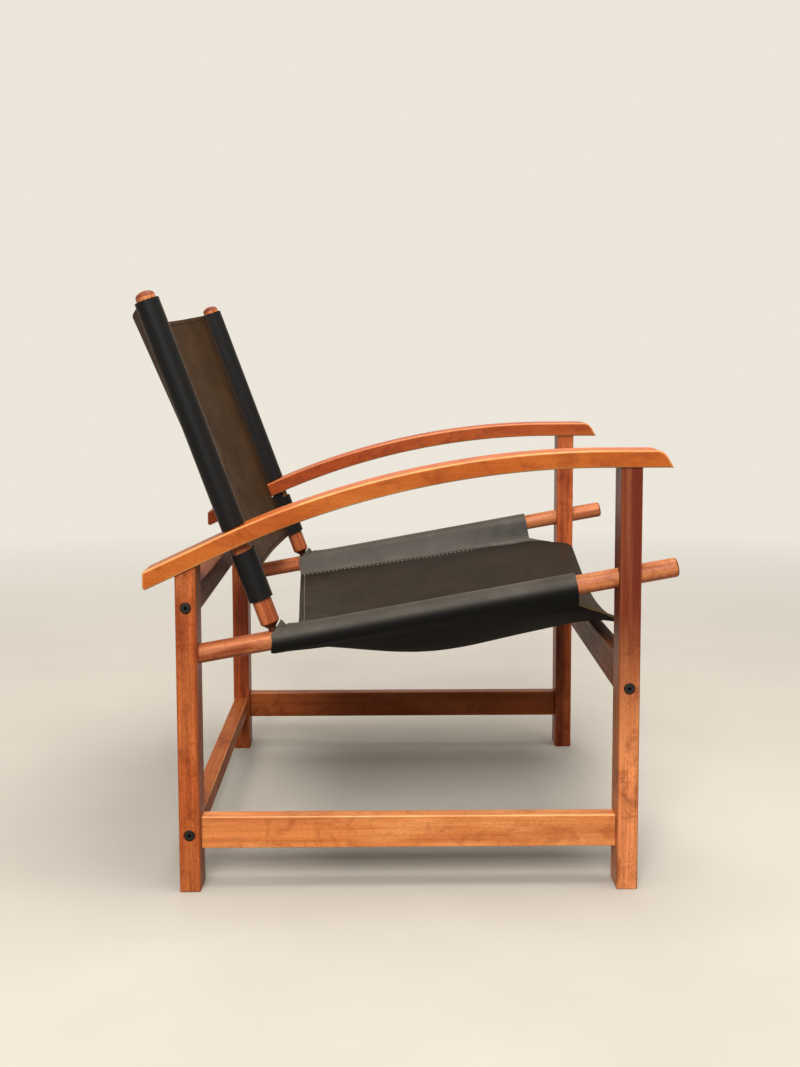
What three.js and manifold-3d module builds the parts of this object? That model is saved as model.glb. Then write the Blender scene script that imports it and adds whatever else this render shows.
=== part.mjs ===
// Lounge chair with a leather seat and a leather back slung between round wooden rails and posts.
// Units are millimetres. +X points to the front of the chair, +Y to the sitter's left, +Z up.
// The frame is laid out from the rear faces of the rear legs (x = 0), the middle of the chair (y = 0)
// and the floor (z = 0). The finished chair is then centred over its own footprint.
import * as THREE from 'three';
import { mergeVertices } from 'three/addons/utils/BufferGeometryUtils.js';
import Module from 'manifold-3d';

// Legs
const legThickness = 27;
const legWidth = 47;
const legSpan = 588;
const frameWidth = 672;
const legEdgeRound = 2.5;

// Armrests: level at the front, then an arc, then a straight fall to the rear
const armWidth = 55;
const armThickness = 22;
const armUndersideHeight = 545;
const armArcRadius = 1150;
const armLevelStart = 545;
const armSlopeEnd = 60;
const armFrontOverhang = 38;
const armRearOverhang = 40;
const armEndLean = 12;
const armNoseDrop = 11;
const armNoseRun = 16.5;
const armRearRound = 6;
const armEdgeRound = 3;

// Side stretchers, with stub tenons that stop short of the bolts in the legs
const stretcherHeight = 42;
const stretcherThickness = 22;
const stretcherFloorGap = 53;
const tenonWall = 2;
const tenonHeight = 28;
const tenonThickness = 12;

// Cross pieces between the two side frames
const rearTopHeight = 35;
const rearTopThickness = 22;
const rearTopBelowArm = 58.1;
const rearTopBoltRise = 11;
const rearTopDowelRise = 24;
const rearLowHeight = 26;
const rearLowThickness = 23;
const rearLowFloorGap = 64;
const rearLowBoltRise = 10.5;
const rearLowDowelRise = 19.5;
const frontHeight = 51;
const frontThickness = 20;
const frontBelowRail = 152.4;
const frontBoltRise = 11;
const frontDowelRise = 36;
const frontTopHollow = 6;
const crossInset = 1;
const crossEdgeRound = 2;

// Seat rails: round bars that rise towards the front
const railDiameter = 25;
const railSlope = 10.15;
const railBelowArm = 109.7;
const railSocketDepth = 14;
const railFrontOverhang = 50;
const railTipRound = 4;

// Back posts: round bars that lean back and plug into the seat rails
const postDiameter = 25;
const postRecline = 20.1;
const postFootDistance = 98.8;
const postShoulderRise = 11.5;
const postLength = 446;
const postDomeHeight = 7;
const pegDiameter = 11;
const pegPastAxis = 6;
const pegChamfer = 1;

// Leather
const leatherThickness = 3;
const sleeveClearance = 0.4;
const seamGap = 0.8;
const flapLength = 10;

// Seat sling
const seatPastPost = 6.4;
const seatFrontGap = 53;
const seatSeamDropRear = 18;
const seatSeamDropFront = 27;
const seatSagRear = 17;
const seatSagDeepest = 86;
const seatSagFront = 69;
const seatDeepestShare = 0.57;
const seatRearBow = 3;
const seatTongue = 68;
const seatTongueCorner = 14;
const seatTongueTaperGap = 17;
const seatTongueSideLean = 1;
const seatLegGap = 2;
const seatTongueDroop = 36;
const seatTongueCurl = 1.5;
const pegNotchGap = 1.5;
const pegNotchCrown = 0.6;

// Back sling
const backFootGap = 32;
const backTopGap = 12;
const backSeamDrop = 11;
const backSagTop = 52;
const backSagFoot = 22;
const windowAbove = 1.5;
const windowBelow = 10;
const windowInset = 4;

// Fasteners
const boltDiameter = 6;
const boltHeadDiameter = 13.4;
const boltHeadThickness = 2.6;
const boltHeadChamfer = 0.5;
const boltTipChamfer = 1;
const boltPastNut = 8;
const boltSocketWidth = 4;
const boltSocketDepth = 1.8;
const nutDiameter = 10;
const nutLength = 16;
const nutSetback = 25;
const dowelDiameter = 8;
const dowelLength = 30;
const armDowelDiameter = 10;
const armDowelInLeg = 15;
const armDowelInArm = 11;

// Clearances
const jointGap = 0.3;
const drillGap = 0.3;
const threadGap = 0.4;
const cutMargin = 5;

// Facets
const roundSides = 24;
const smallSides = 16;
const hexSides = 6;
const edgeSteps = 2;
const domeSteps = 4;
const cornerSteps = 3;
const archSteps = 12;
const sleeveSteps = 12;
const seatStations = 11;
const backStations = 9;
const edgeShares = [0.97, 0.95, 0.925, 0.89];
const middleShares = [0.77, 0.53, 0.27];
const miterLimit = 1.4;
const weldDistance = 1e-4;

// Worked out from the sizes above
const railRadius = railDiameter / 2;
const postRadius = postDiameter / 2;
const sideY = (frameWidth - legWidth) / 2;
const innerY = frameWidth / 2 - legWidth;
const frontLegX = legSpan - legThickness;
const tenonLength = legThickness / 2 - boltDiameter / 2 - threadGap - tenonWall;
const armDowelLength = armDowelInLeg + armDowelInArm;
const armFrontX = legSpan + armFrontOverhang;
const armArcTurn = Math.asin((armLevelStart - armSlopeEnd) / armArcRadius);
const armArcCentre = new THREE.Vector2(armLevelStart, armUndersideHeight - armArcRadius);
const armOverRearLeg = legTop(legThickness / 2);
const slope = THREE.MathUtils.degToRad(railSlope);
const recline = THREE.MathUtils.degToRad(postRecline);
const railAlong = new THREE.Vector3(Math.cos(slope), 0, Math.sin(slope));
const railDown = new THREE.Vector3(Math.sin(slope), 0, -Math.cos(slope));
const postAlong = new THREE.Vector3(-Math.sin(recline), 0, Math.cos(recline));
const postBehind = new THREE.Vector3(-Math.cos(recline), 0, -Math.sin(recline));
const railOrigin = new THREE.Vector3(legThickness, 0, armOverRearLeg - railBelowArm);
const railInFrontLeg = railOrigin.z + (frontLegX - legThickness / 2) * Math.tan(slope);
const railToPost = postFootDistance / Math.cos(slope);
const postFoot = railOrigin.clone().addScaledVector(railAlong, railToPost);
const railToFrontLeg = (frontLegX - legThickness) / Math.cos(slope);
const seatSleeveStart = railToPost - seatPastPost;
const seatSleeveLength = railToFrontLeg - seatFrontGap - seatSleeveStart;
const postLean = recline - slope;
const shoulderRise = railRadius / Math.cos(postLean) + postShoulderRise;
const sides = [{ name: 'right', y: -sideY, inward: 1 }, { name: 'left', y: sideY, inward: -1 }];

const wasm = await Module();
wasm.setup();

const chair = new THREE.Group();

// Materials: stained beech, black leather, blackened and bright steel, plain beech dowels
function beech() {
  return new THREE.MeshStandardMaterial({ color: 0x9c4a2a, roughness: 0.45, metalness: 0 });
}

function armBeech() {
  return new THREE.MeshStandardMaterial({ color: 0xc8743a, roughness: 0.4, metalness: 0 });
}

function leather() {
  return new THREE.MeshStandardMaterial({ color: 0x1f1c1a, roughness: 0.5, metalness: 0 });
}

function blackSteel() {
  return new THREE.MeshStandardMaterial({ color: 0x151515, roughness: 0.4, metalness: 0.9 });
}

function brightSteel() {
  return new THREE.MeshStandardMaterial({ color: 0xb4b4b4, roughness: 0.35, metalness: 1 });
}

function plainBeech() {
  return new THREE.MeshStandardMaterial({ color: 0xd2ab7c, roughness: 0.7, metalness: 0 });
}

// Closed solid from a geometry: shared corners are merged, slivers of no area dropped, faces turned out
function solidOf(geometry) {
  const bare = geometry.clone();
  bare.deleteAttribute('normal');
  bare.deleteAttribute('uv');
  const merged = mergeVertices(bare, weldDistance);
  const place = merged.attributes.position;
  const index = merged.index.array;
  const corners = [];
  let volume = 0;
  const a = new THREE.Vector3();
  const b = new THREE.Vector3();
  const c = new THREE.Vector3();
  for (let i = 0; i < index.length; i += 3) {
    const [p, q, r] = [index[i], index[i + 1], index[i + 2]];
    if (p === q || q === r || r === p) continue;
    corners.push(p, q, r);
    a.fromBufferAttribute(place, p);
    b.fromBufferAttribute(place, q);
    c.fromBufferAttribute(place, r);
    volume += a.dot(b.cross(c));
  }
  if (volume < 0) corners.reverse();
  const mesh = new wasm.Mesh({
    numProp: 3,
    vertProperties: new Float32Array(place.array),
    triVerts: new Uint32Array(corners),
  });
  return new wasm.Manifold(mesh);
}

function add(name, solid, material) {
  const { vertProperties, triVerts } = solid.getMesh();
  const geometry = new THREE.BufferGeometry();
  geometry.setAttribute('position', new THREE.BufferAttribute(new Float32Array(vertProperties), 3));
  geometry.setIndex(new THREE.BufferAttribute(new Uint32Array(triVerts), 1));
  geometry.computeVertexNormals();
  const mesh = new THREE.Mesh(geometry, material);
  mesh.name = name;
  chair.add(mesh);
}

// Shape turned from [radius, distance] pairs, with its axis from a point along a direction
function turned(profile, from, along, facets) {
  const geometry = new THREE.LatheGeometry(profile.map(([r, h]) => new THREE.Vector2(r, h)), facets);
  const turn = new THREE.Quaternion().setFromUnitVectors(new THREE.Vector3(0, 1, 0), along);
  geometry.applyQuaternion(turn);
  geometry.translate(from.x, from.y, from.z);
  return solidOf(geometry);
}

function rod(radius, from, along, length, facets) {
  return turned([[0, 0], [radius, 0], [radius, length], [0, length]], from, along, facets);
}

// Bar of rectangular section with rounded long edges, seen along its length
function roundedBar(width, height, round, length) {
  const [w, h] = [width / 2, height / 2];
  const shape = new THREE.Shape();
  shape.moveTo(-w + round, -h);
  shape.lineTo(w - round, -h);
  shape.absarc(w - round, -h + round, round, -Math.PI / 2, 0, false);
  shape.absarc(w - round, h - round, round, 0, Math.PI / 2, false);
  shape.absarc(-w + round, h - round, round, Math.PI / 2, Math.PI, false);
  shape.absarc(-w + round, -h + round, round, Math.PI, 1.5 * Math.PI, false);
  const settings = { depth: length, bevelEnabled: false, curveSegments: edgeSteps };
  return new THREE.ExtrudeGeometry(shape, settings);
}

// Side outline in x and z, carried across the chair and centred on y
function acrossChair(shape, width, round) {
  const straight = width - 2 * round;
  const geometry = new THREE.ExtrudeGeometry(shape, {
    depth: straight,
    bevelEnabled: round > 0,
    bevelThickness: round,
    bevelSize: round,
    bevelOffset: -round,
    bevelSegments: edgeSteps,
    curveSegments: archSteps,
  });
  geometry.translate(0, 0, -straight / 2);
  geometry.rotateX(Math.PI / 2);
  return geometry;
}

function box(sizeX, sizeY, sizeZ, x, y, z) {
  return solidOf(new THREE.BoxGeometry(sizeX, sizeY, sizeZ).translate(x, y, z));
}

// The armrest's underside, or a line a set distance above it
function armBend(rise) {
  const radius = armArcRadius + rise;
  return new THREE.Vector2(
    armArcCentre.x - radius * Math.sin(armArcTurn),
    armArcCentre.y + radius * Math.cos(armArcTurn),
  );
}

function armRearPoint(rise, x) {
  const bend = armBend(rise);
  return new THREE.Vector2(x, bend.y - (bend.x - x) * Math.tan(armArcTurn));
}

const quarter = Math.PI / 2;

function traceBack(shape, rise) {
  shape.absarc(armArcCentre.x, armArcCentre.y, armArcRadius + rise, quarter, quarter + armArcTurn, false);
}

function traceForward(shape, rise) {
  shape.absarc(armArcCentre.x, armArcCentre.y, armArcRadius + rise, quarter + armArcTurn, quarter, true);
}

// Band between two lines that follow the armrest, used for cuts
function armBand(low, high, rearX, frontX, width) {
  const shape = new THREE.Shape();
  shape.moveTo(frontX, armUndersideHeight + low);
  shape.lineTo(frontX, armUndersideHeight + high);
  traceBack(shape, high);
  for (const rise of [high, low]) {
    const rear = armRearPoint(rise, rearX);
    shape.lineTo(rear.x, rear.y);
  }
  traceForward(shape, low);
  return acrossChair(shape, width, 0);
}

// Height of the middle of the joint between a leg and the armrest
function legTop(x) {
  return x < armSlopeEnd ? armRearPoint(0, x).y : armUndersideHeight;
}

// Cross pieces and the places of their fasteners
const crossPieces = [
  {
    name: 'rear_top_rail',
    place: 'rear_top',
    height: rearTopHeight,
    thickness: rearTopThickness,
    low: armOverRearLeg - rearTopBelowArm,
    x: legThickness - crossInset - rearTopThickness / 2,
    boltRise: rearTopBoltRise,
    dowelRise: rearTopDowelRise,
    legX: 0,
  },
  {
    name: 'rear_lower_stretcher',
    place: 'rear_low',
    height: rearLowHeight,
    thickness: rearLowThickness,
    low: rearLowFloorGap,
    x: legThickness / 2,
    boltRise: rearLowBoltRise,
    dowelRise: rearLowDowelRise,
    legX: 0,
  },
  {
    name: 'front_rail',
    place: 'front',
    height: frontHeight,
    thickness: frontThickness,
    low: railInFrontLeg - frontBelowRail,
    x: frontLegX + crossInset + frontThickness / 2,
    boltRise: frontBoltRise,
    dowelRise: frontDowelRise,
    legX: frontLegX,
    hollow: frontTopHollow,
  },
];

// The bolts, nuts and dowels of a cross piece lie in the middle of the leg's thickness
const headRecess = boltHeadThickness + jointGap;
const crossHalf = innerY - jointGap;

function fastenerX(piece) {
  return piece.legX + legThickness / 2;
}

function boltStart(piece, side) {
  const y = side.y - side.inward * legWidth / 2;
  return new THREE.Vector3(fastenerX(piece), y, piece.low + piece.boltRise);
}

function inwardOf(side) {
  return new THREE.Vector3(0, side.inward, 0);
}

function dowelStart(piece, side) {
  const y = -side.inward * (innerY + dowelLength / 2);
  return new THREE.Vector3(fastenerX(piece), y, piece.low + piece.dowelRise);
}

function nutStart(piece, side) {
  const y = -side.inward * (crossHalf - nutSetback);
  return new THREE.Vector3(fastenerX(piece), y, piece.low + piece.boltRise - nutLength / 2);
}

const up = new THREE.Vector3(0, 0, 1);
const boltLength = legWidth + jointGap + nutSetback + boltPastNut - headRecess;

function boltHoles(piece, side) {
  const start = boltStart(piece, side);
  const inward = inwardOf(side);
  const before = start.clone().addScaledVector(inward, -cutMargin);
  const depth = cutMargin + headRecess + boltLength + drillGap;
  const shankHole = rod(boltDiameter / 2 + threadGap, before, inward, depth, smallSides);
  const headDepth = cutMargin + headRecess;
  const headHole = rod(boltHeadDiameter / 2 + drillGap, before, inward, headDepth, smallSides);
  return shankHole.add(headHole);
}

function dowelHole(piece, side) {
  const inward = inwardOf(side);
  const start = dowelStart(piece, side).addScaledVector(inward, -drillGap);
  return rod(dowelDiameter / 2 + drillGap, start, inward, dowelLength + 2 * drillGap, smallSides);
}

function nutHole(piece, side) {
  const start = nutStart(piece, side);
  const depth = nutLength + drillGap + start.z - piece.low + cutMargin;
  start.z = piece.low - cutMargin;
  return rod(nutDiameter / 2 + drillGap, start, up, depth, smallSides);
}

// Seat rails and their sockets
const railStart = railOrigin.clone().addScaledVector(railAlong, -railSocketDepth);
const railLength = railSocketDepth + (legSpan + railFrontOverhang - legThickness) / Math.cos(slope);

function atSide(point, side) {
  return point.clone().setY(side.y);
}

function railHole(side) {
  const start = atSide(railStart, side).addScaledVector(railAlong, -jointGap);
  return rod(railRadius + drillGap, start, railAlong, railLength + cutMargin, roundSides);
}

function pegHole(side) {
  const start = atSide(postFoot, side).addScaledVector(postAlong, -pegPastAxis - drillGap);
  return rod(pegDiameter / 2 + drillGap, start, postAlong, shoulderRise + pegPastAxis, smallSides);
}

function seatRail(side) {
  const bevel = railTipRound * (1 - Math.SQRT1_2);
  const profile = [
    [0, 0],
    [railRadius, 0],
    [railRadius, railLength - railTipRound],
    [railRadius - bevel, railLength - bevel],
    [railRadius - railTipRound, railLength],
    [0, railLength],
  ];
  return turned(profile, atSide(railStart, side), railAlong, roundSides).subtract(pegHole(side));
}

// Back posts, from the peg's tip to the domed top
function backPost(side) {
  const pegRadius = pegDiameter / 2;
  const shoulder = shoulderRise + pegPastAxis;
  const top = shoulder + postLength;
  const profile = [
    [0, 0],
    [pegRadius - pegChamfer, 0],
    [pegRadius, pegChamfer],
    [pegRadius, shoulder - (postRadius - pegRadius)],
    [postRadius, shoulder],
  ];
  for (let i = 0; i <= domeSteps; i += 1) {
    const turn = (i / domeSteps) * Math.PI / 2;
    const radius = i === domeSteps ? 0 : postRadius * Math.cos(turn);
    profile.push([radius, top - postDomeHeight * (1 - Math.sin(turn))]);
  }
  const tip = atSide(postFoot, side).addScaledVector(postAlong, -pegPastAxis);
  return turned(profile, tip, postAlong, roundSides);
}

// Legs with every hole that is drilled or cut in them
function armDowelStart(x, side) {
  const middle = x + legThickness / 2;
  return new THREE.Vector3(middle, side.y, legTop(middle) - armDowelInLeg);
}

function armDowelHole(x, side) {
  const start = armDowelStart(x, side);
  start.z -= drillGap;
  return rod(armDowelDiameter / 2 + drillGap, start, up, armDowelLength + 2 * drillGap, smallSides);
}

function tenons(side, grow) {
  const reach = frontLegX - legThickness + 2 * (tenonLength + grow);
  const middle = legSpan / 2;
  const z = stretcherFloorGap + stretcherHeight / 2;
  return box(reach, tenonThickness + 2 * grow, tenonHeight + 2 * grow, middle, side.y, z);
}

function leg(x, side) {
  const bar = roundedBar(legThickness, legWidth, legEdgeRound, legTop(x + legThickness) + cutMargin);
  let solid = solidOf(bar.translate(x + legThickness / 2, side.y, 0));
  const above = legThickness + 2 * cutMargin;
  const width = frameWidth + 2 * cutMargin;
  const overArm = armBand(-jointGap, above, -armRearOverhang - cutMargin, armFrontX, width);
  solid = solid.subtract(solidOf(overArm)).subtract(railHole(side)).subtract(tenons(side, drillGap));
  solid = solid.subtract(armDowelHole(x, side));
  for (const piece of crossPieces.filter((entry) => entry.legX === x)) {
    solid = solid.subtract(boltHoles(piece, side)).subtract(dowelHole(piece, side));
  }
  return solid;
}

// Armrest: outline with a leaning front end, a rounded nose and a rounded rear end, drilled for the post
function postHole(side) {
  const start = atSide(postFoot, side).addScaledVector(postAlong, shoulderRise);
  return rod(postRadius + drillGap, start, postAlong, postLength + cutMargin, roundSides);
}

// Rounds the corner between the line drawn so far and the line to the next point
function roundCorner(shape, corner, next, radius) {
  const back = shape.currentPoint.clone().sub(corner).normalize();
  const ahead = next.clone().sub(corner).normalize();
  const angle = back.angleTo(ahead);
  const middle = back.clone().add(ahead).normalize();
  const centre = corner.clone().addScaledVector(middle, radius / Math.sin(angle / 2));
  const start = corner.clone().addScaledVector(back, radius / Math.tan(angle / 2));
  for (let step = 0; step <= cornerSteps; step++) {
    const turn = (Math.PI - angle) * step / cornerSteps;
    const point = start.clone().rotateAround(centre, turn);
    shape.lineTo(point.x, point.y);
  }
}

function armrest(side) {
  const shape = new THREE.Shape();
  const top = armUndersideHeight + armThickness;
  const lean = armEndLean / armThickness;
  const noseX = armFrontX - lean * (armThickness - armNoseDrop);
  shape.moveTo(armFrontX, armUndersideHeight);
  shape.lineTo(noseX, top - armNoseDrop);
  shape.quadraticCurveTo(armFrontX - armEndLean, top, noseX - armNoseRun, top);
  traceBack(shape, armThickness);
  const [rearTop, rearLow] = [armThickness, 0].map((rise) => armRearPoint(rise, -armRearOverhang));
  roundCorner(shape, rearTop, rearLow, armRearRound);
  roundCorner(shape, rearLow, armBend(0), armRearRound);
  traceForward(shape, 0);
  const blank = solidOf(acrossChair(shape, armWidth, armEdgeRound).translate(0, side.y, 0));
  const drilled = blank.subtract(postHole(side));
  return drilled.subtract(armDowelHole(0, side)).subtract(armDowelHole(frontLegX, side));
}

function sideStretcher(side) {
  const length = frontLegX - legThickness - 2 * jointGap;
  const bar = roundedBar(stretcherHeight, stretcherThickness, crossEdgeRound, length);
  bar.translate(0, 0, -length / 2).rotateY(Math.PI / 2);
  const z = stretcherFloorGap + stretcherHeight / 2;
  return solidOf(bar.translate(legSpan / 2, side.y, z)).add(tenons(side, 0));
}

// Cross piece, with a shallow hollow along its top where it has one
function crossPiece(piece) {
  const length = 2 * crossHalf;
  const bar = roundedBar(piece.thickness, piece.height, crossEdgeRound, length);
  bar.translate(0, 0, -length / 2).rotateX(Math.PI / 2);
  let solid = solidOf(bar.translate(piece.x, 0, piece.low + piece.height / 2));
  if (piece.hollow) {
    const radius = (crossHalf * crossHalf + piece.hollow * piece.hollow) / (2 * piece.hollow);
    const shape = new THREE.Shape();
    const turn = Math.asin(crossHalf / radius);
    shape.absarc(0, radius - piece.hollow, radius, -quarter - turn, -quarter + turn, false);
    const geometry = new THREE.ExtrudeGeometry(shape, {
      depth: piece.thickness + 2 * cutMargin,
      bevelEnabled: false,
      curveSegments: archSteps,
    });
    geometry.translate(0, 0, -piece.thickness / 2 - cutMargin).rotateX(quarter).rotateZ(quarter);
    solid = solid.subtract(solidOf(geometry.translate(piece.x, 0, piece.low + piece.height)));
  }
  for (const side of sides) {
    solid = solid.subtract(boltHoles(piece, side)).subtract(dowelHole(piece, side));
    solid = solid.subtract(nutHole(piece, side));
  }
  return solid;
}

// Fasteners
function bolt(piece, side) {
  const inward = inwardOf(side);
  const face = boltStart(piece, side).addScaledVector(inward, jointGap);
  const [headRadius, shankRadius] = [boltHeadDiameter / 2, boltDiameter / 2];
  const tip = boltHeadThickness + boltLength;
  const profile = [
    [0, 0],
    [headRadius - boltHeadChamfer, 0],
    [headRadius, boltHeadChamfer],
    [headRadius, boltHeadThickness],
    [shankRadius, boltHeadThickness],
    [shankRadius, tip - boltTipChamfer],
    [shankRadius - boltTipChamfer, tip],
    [0, tip],
  ];
  const socketStart = face.clone().addScaledVector(inward, -cutMargin);
  const socketDepth = cutMargin + boltSocketDepth;
  const socket = rod(boltSocketWidth / Math.sqrt(3), socketStart, inward, socketDepth, hexSides);
  return turned(profile, face, inward, smallSides).subtract(socket);
}

function barrelNut(piece, side) {
  const body = rod(nutDiameter / 2, nutStart(piece, side), up, nutLength, smallSides);
  return body.subtract(boltHoles(piece, side));
}

function locatingDowel(piece, side) {
  return rod(dowelDiameter / 2, dowelStart(piece, side), inwardOf(side), dowelLength, smallSides);
}

function armDowel(x, side) {
  return rod(armDowelDiameter / 2, armDowelStart(x, side), up, armDowelLength, smallSides);
}

// Section of a sling across the chair, along the middle of the leather. Each point has its distance
// across, its depth towards the sag and, on the sheet between the seams, its share of the half width.
// It runs from one flap round the sleeve, over the sheet and round the other sleeve to the other flap.
function slingHalf(ring, shares, sheetDepth, flapDepth) {
  const seamY = sideY - ring;
  const seamDrop = flapDepth(1);
  const flapDrop = flapDepth(1 - flapLength / seamY);
  const slopeAt = (flapDrop - seamDrop) / flapLength;
  const off = (leatherThickness + seamGap) / Math.hypot(1, slopeAt);
  const flapSeam = { y: seamY + slopeAt * off, depth: seamDrop + off };
  const flapEnd = { y: seamY - flapLength + slopeAt * off, depth: flapDrop + off };
  const reach = Math.hypot(sideY - flapSeam.y, flapSeam.depth);
  const from = Math.atan2(flapSeam.depth, sideY - flapSeam.y) + Math.acos(Math.min(1, ring / reach));
  const half = [{ ...flapEnd, share: 1 }, { ...flapSeam, share: 1 }];
  for (let i = 0; i <= sleeveSteps; i += 1) {
    const turn = from + (2 * Math.PI - from) * i / sleeveSteps;
    const crown = -Math.sin(turn);
    half.push({ y: sideY - ring * Math.cos(turn), depth: -ring * crown, share: 1, crown });
  }
  half.push({ y: seamY, depth: seamDrop, share: 1 });
  for (const share of shares) {
    half.push({ y: seamY * share, depth: sheetDepth(share), share });
  }
  return half;
}

function slingPath(ring, shares, sheetDepth, flapDepth) {
  const half = slingHalf(ring, shares, sheetDepth, flapDepth);
  const other = half.map((point) => ({ ...point, y: -point.y })).reverse();
  return [...half, { y: 0, depth: sheetDepth(0), share: 0 }, ...other];
}

// Both faces of the leather, half its thickness either side of the section
function thickened(path) {
  const faces = [[], []];
  path.forEach((point, i) => {
    const before = path[Math.max(i - 1, 0)];
    const after = path[Math.min(i + 1, path.length - 1)];
    const into = new THREE.Vector2(point.y - before.y, point.depth - before.depth).normalize();
    const out = new THREE.Vector2(after.y - point.y, after.depth - point.depth).normalize();
    const along = into.add(out).normalize();
    const turn = i > 0 ? along.dot(out) : 1;
    const shift = leatherThickness / 2 / Math.max(turn, 1 / miterLimit);
    faces[0].push({ ...point, y: point.y - along.y * shift, depth: point.depth + along.x * shift });
    faces[1].push({ ...point, y: point.y + along.y * shift, depth: point.depth - along.x * shift });
  });
  return faces;
}

// Leather sheet with a sleeve at each side. sectionAt gives the section at a share of the sleeve's
// length, alongAt the distance along the sleeve for a point of the section at a station.
function sling(stations, sectionAt, alongAt, place) {
  const rings = [];
  for (let i = 0; i <= stations; i += 1) {
    const faces = thickened(sectionAt(i / stations));
    const ring = [...faces[0], ...faces[1].reverse()];
    rings.push(ring.map((point) => place(alongAt(i / stations, point), point.y, point.depth)));
  }
  const count = rings[0].length;
  const positions = rings.flat().flatMap((point) => point.toArray());
  const index = [];
  for (let i = 0; i < stations; i += 1) {
    for (let j = 0; j < count; j += 1) {
      const next = (j + 1) % count;
      const [a, b, c, d] = [i * count + j, i * count + next, (i + 1) * count + j, (i + 1) * count + next];
      index.push(a, b, d, a, d, c);
    }
  }
  for (const [base, flip] of [[0, true], [stations * count, false]]) {
    for (let j = 0; j < count / 2 - 1; j += 1) {
      const [a, b, c, d] = [base + j, base + j + 1, base + count - 1 - j, base + count - 2 - j];
      index.push(...(flip ? [a, d, b, a, c, d] : [a, b, d, a, d, c]));
    }
  }
  const geometry = new THREE.BufferGeometry();
  geometry.setAttribute('position', new THREE.Float32BufferAttribute(positions, 3));
  geometry.setIndex(index);
  return solidOf(geometry);
}

// Seat: sags most near its middle, and ends in a drooping tongue between the front legs
function seatSling() {
  const ring = railRadius + sleeveClearance + leatherThickness / 2;
  const tip = 1 + seatTongue / seatSleeveLength;
  const seamY = sideY - ring;
  const legInset = Math.max(0, seamY - innerY) + seatLegGap;
  const taper = seatFrontGap - seatTongueTaperGap;
  const outline = [legInset, legInset + seatTongueSideLean, legInset + seatTongueCorner / 2];
  const edge = [...outline, legInset + seatTongueCorner].map((fromSeam) => 1 - fromSeam / seamY);
  const pegReach = pegDiameter / 2 + drillGap + pegNotchGap + leatherThickness * Math.tan(postLean);
  const notch = Math.max(0, seatPastPost - railRadius * Math.tan(postLean) + pegReach);
  function sagAt(share) {
    if (share < seatDeepestShare) {
      const rise = Math.sin(quarter * share / seatDeepestShare);
      return THREE.MathUtils.lerp(seatSagRear, seatSagDeepest, rise);
    }
    const forward = THREE.MathUtils.smoothstep(share, seatDeepestShare, tip);
    return THREE.MathUtils.lerp(seatSagDeepest, seatSagFront, forward);
  }
  function tongueAt(share) {
    const fromSide = seamY * (1 - share) - legInset;
    if (fromSide < seatTongueSideLean / 2) return taper * (1 + fromSide / legInset);
    const short = Math.max(0, seatTongueCorner - fromSide);
    return seatTongue - seatTongueCorner + Math.sqrt(seatTongueCorner ** 2 - short ** 2);
  }
  function lengthAt(station, share) {
    const rear = seatRearBow * (1 - share * share);
    return THREE.MathUtils.lerp(rear, seatSleeveLength + tongueAt(share), station);
  }
  function depthAt(length, share) {
    const along = Math.min(1, length / seatSleeveLength);
    const past = Math.max(0, length - seatSleeveLength) / seatTongue;
    const droop = seatTongueDroop * past ** seatTongueCurl * share * share;
    const drop = THREE.MathUtils.lerp(seatSeamDropRear, seatSeamDropFront, along);
    return drop + droop + sagAt(length / seatSleeveLength) * (1 - share * share);
  }
  function sectionAt(station) {
    const sheetDepth = (share) => depthAt(lengthAt(station, share), share);
    const flapDepth = (share) => depthAt(lengthAt(station, 1), share);
    return slingPath(ring, [...edge, ...middleShares], sheetDepth, flapDepth);
  }
  function alongAt(station, point) {
    const crown = Math.max(0, (point.crown ?? 0) - pegNotchCrown) / (1 - pegNotchCrown);
    return seatSleeveStart + lengthAt(station, point.share) + notch * crown * (1 - station);
  }
  function place(along, y, depth) {
    return railOrigin.clone().addScaledVector(railAlong, along).addScaledVector(railDown, depth).setY(y);
  }
  return sling(seatStations, sectionAt, alongAt, place);
}

// Back: sags more towards its top, with a window at each side for the armrest
function backSling() {
  const ring = postRadius + sleeveClearance + leatherThickness / 2;
  const foot = shoulderRise + backFootGap;
  const length = postLength - backFootGap - backTopGap;
  function alongAt(station) {
    return foot + length * station;
  }
  function sectionAt(station) {
    const sag = THREE.MathUtils.lerp(backSagFoot, backSagTop, station);
    const depthAt = (share) => backSeamDrop + sag * (1 - share * share);
    return slingPath(ring, [...edgeShares, ...middleShares], depthAt, depthAt);
  }
  function place(along, y, depth) {
    return postFoot.clone().addScaledVector(postAlong, along).addScaledVector(postBehind, depth).setY(y);
  }
  let solid = sling(backStations, sectionAt, alongAt, place);
  const windowWidth = armWidth + windowInset + legWidth;
  const above = armThickness + windowAbove;
  const band = armBand(-windowBelow, above, -armRearOverhang, armLevelStart, windowWidth);
  for (const side of sides) {
    const y = side.y + side.inward * ((armWidth - windowWidth) / 2 + windowInset);
    solid = solid.subtract(solidOf(band.clone().translate(0, y, 0)));
  }
  return solid;
}

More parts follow.
